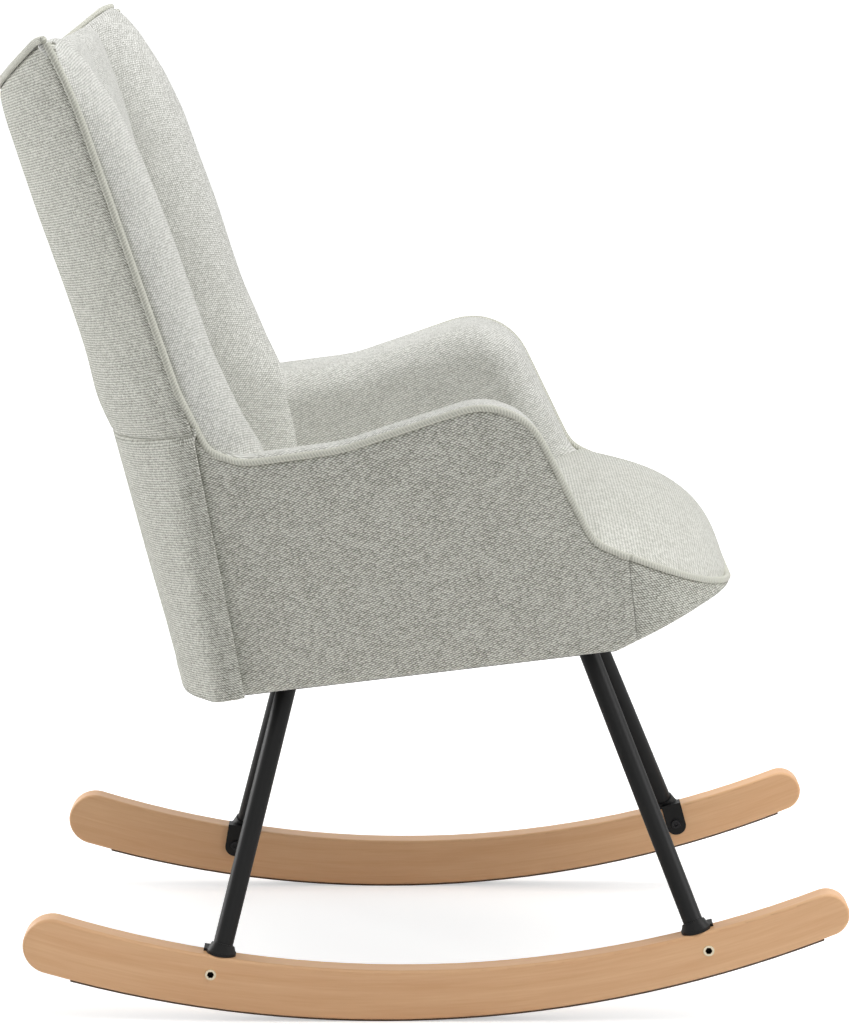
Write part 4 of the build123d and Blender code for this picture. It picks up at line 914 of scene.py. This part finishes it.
def arc_drop(x, reach, fall):
    """Fall of a round that starts level and drops by fall within reach."""
    t = np.clip(np.asarray(x, float) / reach, 0, 1)
    if fall >= reach:
        return fall * (1 - np.sqrt(1 - t * t))
    radius = (reach**2 + fall**2) / (2 * fall)
    return radius - np.sqrt(radius**2 - (t * reach) ** 2)


def over_the_top(s, n, end_n, drop, count):
    """Line up the front of a pad, over a rounded upper edge and back to the top welt."""
    past = np.nonzero(s >= top_line_s(n, drop))[0][0]
    corner_n = n[past]
    front = np.stack([n[: past + 1], s[: past + 1]], -1)
    top_n = np.linspace(corner_n, min(end_n, corner_n - 0.5), 40)[1:]
    line = np.vstack([front, np.stack([top_n, top_line_s(top_n, drop)], -1)])
    fine = resample(line, 320)
    corner = np.array([corner_n, top_line_s(corner_n, drop)])
    for _ in range(60):
        near = np.linalg.norm(fine[1:-1] - corner, axis=1) < top_ease
        mean = (fine[:-2] + fine[2:]) / 2
        fine[1:-1][near] = mean[near]
    return resample(fine, count)


def between_seams(value, seams):
    """Fullness of a quilted pad: 0 on a seam and 1 half way between two."""
    softness = 0.55
    t = np.interp(value, seams, np.arange(len(seams))) % 1
    return np.clip(4 * t * (1 - t), 0, 1) ** softness


def back_pad():
    """Quilted inner back, rolled over its upper edge to the top welt."""
    columns, spacing = 83, 1.15
    s = np.linspace(back_pad_foot_s, back_pad_end_s, 325)
    across = np.linspace(-1, 1, columns)
    places = wing_seam_x * np.sign(across) * (1 - (1 - np.abs(across)) ** spacing)
    rows = between_seams(s, quilt_rows)
    tucked = back_pad_tuck * (1 - smooth_step(s, back_pad_foot_s, back_pad_foot_s + back_pad_tuck_run))
    lines = []
    for x in places:
        side = between_seams(x, quilt_columns)
        n = back_pad_seam_n + column_fullness * side + row_fullness * rows + square_fullness * side * rows
        n = n - roll(wing_seam_x - abs(x), *back_pad_roll) - tucked
        end_n = cover_n(x, *back_pad_end_arc) + welt_ledge
        lines.append(over_the_top(s, n, end_n, top_drop, 130))
    grid = np.stack(lines, 1)
    n, s = grid[..., 0], grid[..., 1]
    x = np.broadcast_to(places, n.shape)
    front = back_xyz(x, s, n)
    back = back_xyz(x, np.minimum(s, back_pad_rear_s), np.minimum(n - 1, back_pad_rear_n))
    uv = cloth_uv(front)
    piece = slab("back_pad_cloth", front, back, uv, cloth_inner_painted_light, ["back_pad"], (1, 0, 0.3))
    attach(piece, "chair")


def wing_lines(s):
    """Place and inset of the wing's crest and of its outer edge along the wing."""
    past_foot = wing_edge_n(s) + np.where(s < wing_foot_end_s, np.inf, wing_edge_room)
    crest_n = np.interp(s, wing_crest_s, wing_crest_n)
    edge_n = np.minimum(np.interp(s, wing_foot_s, wing_foot_edge_n), past_foot)
    crest_inset = np.interp(s, wing_foot_s, wing_foot_crest_inset)
    edge_inset = np.interp(s, wing_foot_s, wing_foot_edge_inset)
    return [eased(line, 40) for line in (crest_n, edge_n, crest_inset, edge_inset)]


def wing_pad(hand, word):
    """Rolled wing: from its seam on the inner back over the crest to the outer welt."""
    columns, tip_row = 49, -60
    s = np.linspace(wing_foot_s[0], wing_end_s, 385)
    crest_n, edge_n, crest_inset, edge_inset = wing_lines(s)
    edge_n = np.minimum(edge_n, crest_n - 1)
    crest_x, edge_x = wing_half(s) - crest_inset, wing_half(s) - edge_inset
    start_x = wing_seam_x + 0.4
    lines, widths = [], []
    for share in np.linspace(0, 1, columns):
        x = start_x + share * (edge_x - start_x)
        steps_in = zip(crest_x - x, crest_x - wing_seam_x, crest_n - wing_seam_n)
        steps_out = zip(x - crest_x, edge_x - crest_x, crest_n - edge_n)
        inner, outer = ([arc_drop(*step) for step in steps] for steps in (steps_in, steps_out))
        n = crest_n - np.where(x < crest_x, inner, outer) - roll(x - wing_seam_x, *wing_seam_roll)
        near = np.minimum(x - wing_seam_x, edge_x - x)
        n = n + ripple(s, x, 80, 7.0 * hand) * smooth_step(near, 0, 20)
        end_n = cover_n(x[tip_row], *wing_end_arc) + welt_ledge
        line = over_the_top(s, n, end_n, top_drop + tip_drop(x[tip_row]), 120)
        lines.append(line)
        widths.append(np.interp(line[:, 1], s, x))
    grid = np.stack(lines, 1)
    points = back_xyz(-hand * np.stack(widths, 1), grid[..., 1], grid[..., 0])
    uv = cloth_uv(points) * (hand, 1)
    nodes = [f"wing_pad_{word}"]
    piece = panel(f"wing_pad_cloth_{word}", points, uv, cloth_inner_painted_light, nodes, (1, 0, 0.3), wing_thickness)


def cover_top_s(place):
    """Height of the back cover's upper edge at a share of its half width."""
    s = tip_s
    for _ in range(12):
        half = wing_half(s)
        n = cover_n(place * half, half, wing_edge_n(s))
        s = top_line_s(n, cover_top_drop + tip_drop(place * half))
    return s


def back_cover():
    """Outer back: one bowed panel that swells over its hem."""
    rows, columns = 90, 121
    sections = []
    for place in np.linspace(-1, 1, columns):
        s_top = cover_top_s(place)
        s = hem_s + np.linspace(0, 1, rows) * (s_top - hem_s)
        half, edge_n = wing_half(s), wing_edge_n(s)
        x = place * half
        n = cover_n(x, half, edge_n)
        edge = (1 - abs(place)) * half
        over_hem = hem_swell * np.exp(-(((s - hem_swell_s) / hem_swell_reach) ** 2))
        swell = cover_fullness * smooth_step(edge, 0, 60) + over_hem * smooth_step(edge, 0, 45)
        swell = swell - roll(s - hem_s, *cover_hem_roll) - roll(edge, *cover_edge_roll)
        swell = swell - roll(s_top - s, *cover_top_roll)
        swell = swell + cover_ripple * ripple(x, s, 90, 2.0) * smooth_step(edge, 0, 40)
        lean = x / cover_radius(half, edge_n)
        sections.append(np.stack([x + swell * lean, s, n - swell * np.sqrt(1 - lean**2)], -1))
    grid = np.stack(sections, 1)
    points = back_xyz(grid[..., 0], grid[..., 1], grid[..., 2])
    uv = np.stack([cloth_uv(points)[..., 0], grid[..., 1] * MM], -1)
    piece = panel("back_cover_cloth", points, uv, cloth_back, ["back_cover"], (-1, 0, -0.3), cover_thickness)


# Cloths behind the seat
def rear_curve(half, edge_n, rear_n, count):
    """Points along a flat rear arc with a tighter arc at each corner."""
    start_half = half - flap_corner
    start_n = rear_n + flap_radius - math.sqrt(flap_radius**2 - start_half**2)
    start_angle = math.asin(start_half / flap_radius)
    chord = math.hypot(flap_corner, edge_n - start_n)
    chord_angle = math.atan2(edge_n - start_n, flap_corner)
    sag = chord / 2 * math.tan((chord_angle - start_angle) / 2)
    middle = (
        (start_half + half) / 2 + sag * math.sin(chord_angle),
        (start_n + edge_n) / 2 - sag * math.cos(chord_angle),
    )
    flat = three_point_arc((-start_half, start_n), (0, rear_n), (start_half, start_n), 120)
    corner = three_point_arc((start_half, start_n), middle, (half, edge_n), 40)
    left = corner[::-1] * (-1, 1)
    return resample(np.vstack([left[:-1], flat, corner[1:]]), count)


def flap_shape(s):
    """Half width, edge and rear of the flap at height s."""
    share = (s - flap_top_s) / (flap_foot_s - flap_top_s)
    return [top + (foot - top) * share for top, foot in (flap_half, flap_edge_n, flap_rear_n)]


def outward_normals(lines):
    """Unit directions out of a rear curve, in the plane of its section."""
    slope = np.gradient(lines, axis=1)
    return unit(np.stack([slope[..., 1], -slope[..., 0]], -1))


def flap():
    """Loose cloth that hangs from the hem, a little wavy towards its foot."""
    wave_growth, wave_slant, stitch_width = 1.3, 2.2, 1.6
    tucked = flap_top_s + np.array([9.0, 6.0, 3.0])
    rows = np.concatenate([tucked, np.linspace(flap_top_s, flap_foot_s, 61)])
    lines = np.array([rear_curve(*flap_shape(s), 201) for s in rows])
    normal = outward_normals(lines)
    along = lengths_along(lines)
    centred = along - along[:, -1:] / 2
    share = np.clip((flap_top_s - rows) / (flap_top_s - flap_foot_s), 0, 1)[:, None]
    edge = np.minimum(along, along[:, -1:] - along)
    wave = flap_wave * share**wave_growth * (1 + np.sin(centred / flap_wave_run + wave_slant * share))
    wave = wave * smooth_step(edge, 20, 90)
    stitched = np.exp(-(((edge - flap_hem) / stitch_width) ** 2))
    fold = flap_hem_fold * (1 - smooth_step(edge, flap_hem - 4, flap_hem)) - flap_stitch * stitched
    fold = fold + smooth_step(share, 0.94, 0.96)
    fold = fold - flap_tuck * smooth_step(rows, flap_top_s - 4, flap_top_s + 3)[:, None]
    uneven = flap_ripple * ripple(centred, rows[:, None], 60, 5.0) * share
    outer = lines + normal * (wave + fold + uneven)[..., None]
    inner = outer - normal * flap_thickness
    s = np.broadcast_to(rows[:, None], along.shape)
    front = back_xyz(outer[..., 0], s, outer[..., 1])
    back = back_xyz(inner[..., 0], s, inner[..., 1])
    uv = np.stack([centred, s], -1) * MM
    piece = slab("rear_flap_cloth", front, back, uv, cloth_back, ["rear_flap"], (-1, 0, -0.3))
    start, end = (back_xyz(0, flap_top_s - below, 0) for below in flap_bend)
    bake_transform(piece)


def rear_cover():
    """Cloth over the rear of the seat, behind the flap."""
    rows = np.linspace(*rear_cover_s, 40)
    lines = []
    for s in rows:
        half, edge_n, rear_n = flap_shape(s)
        line = rear_curve(half - rear_cover_inset, edge_n, rear_n + rear_cover_gap, 121)
        top = back_xyz(0, s, 0)
        base_u = (top[0] * math.cos(seat_tilt) + (top[2] - seat_z * MM) * math.sin(seat_tilt)) / MM
        most_n = (rear_cover_front_u - base_u) / math.cos(back_tilt - seat_tilt)
        line[:, 1] = np.minimum(line[:, 1], most_n)
        lines.append(line)
    lines = np.array(lines)
    s = np.broadcast_to(rows[:, None], lines.shape[:2])
    along = lengths_along(lines)
    front = back_xyz(lines[..., 0], s, lines[..., 1])
    back = back_xyz(lines[..., 0] * 0.992, s, lines[..., 1] + flap_thickness)
    uv = np.stack([along - along[:, -1:] / 2, s], -1) * MM
    piece = slab("seat_rear_cover_cloth", front, back, uv, cloth_side, ["seat_rear_cover"], (-1, 0, -0.3))
    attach(piece, "chair")


# Welts
def smooth_path(points, turns):
    """An evenly spaced path with its corners eased."""
    count = int(lengths_along(points)[-1] / (welt_step * MM))
    return eased(resample(points, count), turns)


def side_welt(hand, word):
    """One cord down the wing's edge and along the arm to the nose."""
    s = np.linspace(tip_s - tip_fall, wing_welt_foot_s, 60)
    wing = back_xyz(-hand * (wing_half(s) - welt_end_inset), s, wing_edge_n(s) + wing_welt_n)
    line = arm_line[(arm_line[:, 0] > arm_welt_start_u) & (arm_line[:, 0] < side_seam_u + 1)]
    slope = unit(np.gradient(line, axis=0))
    lifted = line + np.stack([-slope[:, 1], slope[:, 0]], -1) * welt_lift
    arm = side_xyz(lifted[:, 0], lifted[:, 1], welt_inset, hand)
    bend = side_xyz(*welt_bend, welt_inset, hand)
    path = smooth_path(np.vstack([wing, bend, arm]), 12)
    tube(f"side_welt_{word}", path, [f"wing_welt_{word}", f"arm_welt_{word}"])


def top_welt():
    """Cord along the upper edge of the back, from tip to tip."""
    half = wing_half(tip_s) - welt_end_inset
    x = np.linspace(-half, half, 160)
    n = cover_n(x, half, top_welt_edge_n) + top_welt_n
    s = top_line_s(n, tip_drop(x)) + welt_lift * math.cos(top_rise)
    path = back_xyz(x, s, n - welt_lift * math.sin(top_rise))
    tube("top_welt_cord", smooth_path(path, 4), ["top_welt"])


def front_welt():
    """Cord along the rim of the nose, from one side seam round the front to the other."""
    u = nose_places(60, welt_inset)
    right = np.stack([u, -nose_half(u, rim_h(u), welt_inset)], -1)
    path = np.vstack([right, right[::-1] * (1, -1)])
    u, y = path[:, 0], path[:, 1]
    fall = math.atan(rim_slope)
    bowed_u = u + nose_bow(u, y) + front_welt_lift * math.sin(fall)
    lifted = seat_xyz(bowed_u, y, rim_h(u) + front_welt_lift * math.cos(fall))
    tube("front_welt_cord", smooth_path(lifted, 4), ["front_welt"])


for hand, word in ((-1, "right"), (1, "left")):
    side_panel(hand, word)
    arm_pad(hand, word)
    wing_pad(hand, word)
    side_welt(hand, word)
apron()
cushion()
back_pad()
back_cover()
flap()
rear_cover()
top_welt()
front_welt()

# CAD nodes that stay in view get the material of their slot
node_slots = {part["node"]: part["material_slot"] for part in frame["record"]["subparts"]}
for name, node in frame["nodes"].items():
    node.data.materials.clear()
    node.data.materials.append(own_materials.get(name, slot_materials[node_slots[name]]))


# Studio
def send_choice(tree, factor, first, second, kind):
    """Sends one of two shaders, by a factor socket, to the tree's output."""
    choice = add(tree, "MixShader")
    result = add(tree, kind)
    link(factor, choice.inputs[0])
    link(first.outputs[0], choice.inputs[1])
    link(second.outputs[0], choice.inputs[2])
    link(choice.outputs[0], result.inputs[0])


def white_floor():
    """Matte floor that shows white to the camera and keeps the chair's shadow."""
    made = bpy.data.materials.new("floor_white")
    made.use_nodes = True
    tree = made.node_tree
    tree.nodes.clear()
    matte = add(tree, "BsdfDiffuse", Color=linear(244, 244, 244))
    glow = add(tree, "Emission", Color=(1, 1, 1, 1))
    place = add(tree, "NewGeometry")
    reach = add(tree, "VectorMath")
    reach.operation = "LENGTH"
    level = add(tree, "MapRange", From_Min=1.2, From_Max=3.2, To_Min=0.5, To_Max=1.0)
    lifted = add(tree, "AddShader")
    rays = add(tree, "LightPath")
    link(place.outputs["Position"], reach.inputs[0])
    link(reach.outputs["Value"], level.inputs["Value"])
    link(level.outputs["Result"], glow.inputs["Strength"])
    link(matte.outputs[0], lifted.inputs[0])
    link(glow.outputs[0], lifted.inputs[1])
    send_choice(tree, rays.outputs["Is Camera Ray"], matte, lifted, "OutputMaterial")
    return made


studio = bpy.context.scene
bpy.ops.mesh.primitive_plane_add(size=160, location=(0, 0, 0))
floor = bpy.context.object
floor.name = "floor"
floor.data.materials.append(white_floor())

# Name, place, aim, size in metres and power in watts of each large soft lamp
lamps = (
    ("light_top", (0.3, -0.2, 3.6), (0, 0, 0.4), 3.2, 92),
    ("light_right", (3.4, -1.0, 1.9), (0, 0, 0.5), 2.4, 56),
    ("light_left", (-3.2, 1.3, 1.4), (0, 0, 0.6), 2.2, 88),
    ("light_front", (0.6, -3.9, 2.6), (0, 0, 0.5), 2.2, 14),
)
for name, place, aim, size, power in lamps:
    data = bpy.data.lights.new(name, "AREA")
    data.size = size
    data.energy = power
    lamp = bpy.data.objects.new(name, data)
    lamp.location = place
    lamp.rotation_euler = (Vector(aim) - Vector(place)).to_track_quat("-Z", "Y").to_euler()
    studio.collection.objects.link(lamp)

world = bpy.data.worlds.new("studio")
world.use_nodes = True
studio.world = world
tree = world.node_tree
tree.nodes.clear()
rays = add(tree, "LightPath")
soft = add(tree, "Background", Color=(1, 1, 1, 1), Strength=0.17)
white = add(tree, "Background", Color=(1, 1, 1, 1), Strength=1.0)
seen = rays.outputs["Is Camera Ray"]
for ray in ("Is Glossy Ray", "Is Transmission Ray"):
    seen = maths(tree, "MAXIMUM", seen, rays.outputs[ray])
send_choice(tree, seen, soft, white, "OutputWorld")

camera_pitch = 11.43
lens = bpy.data.cameras.new("camera")
lens.lens = 114.26
lens.sensor_width = 36
camera = bpy.data.objects.new("camera", lens)
camera.location = (0.0045, -3.3456, 1.155)
camera.rotation_euler = (math.radians(90 - camera_pitch), 0, 0)
studio.collection.objects.link(camera)
studio.camera = camera
studio.view_settings.view_transform = "Standard"
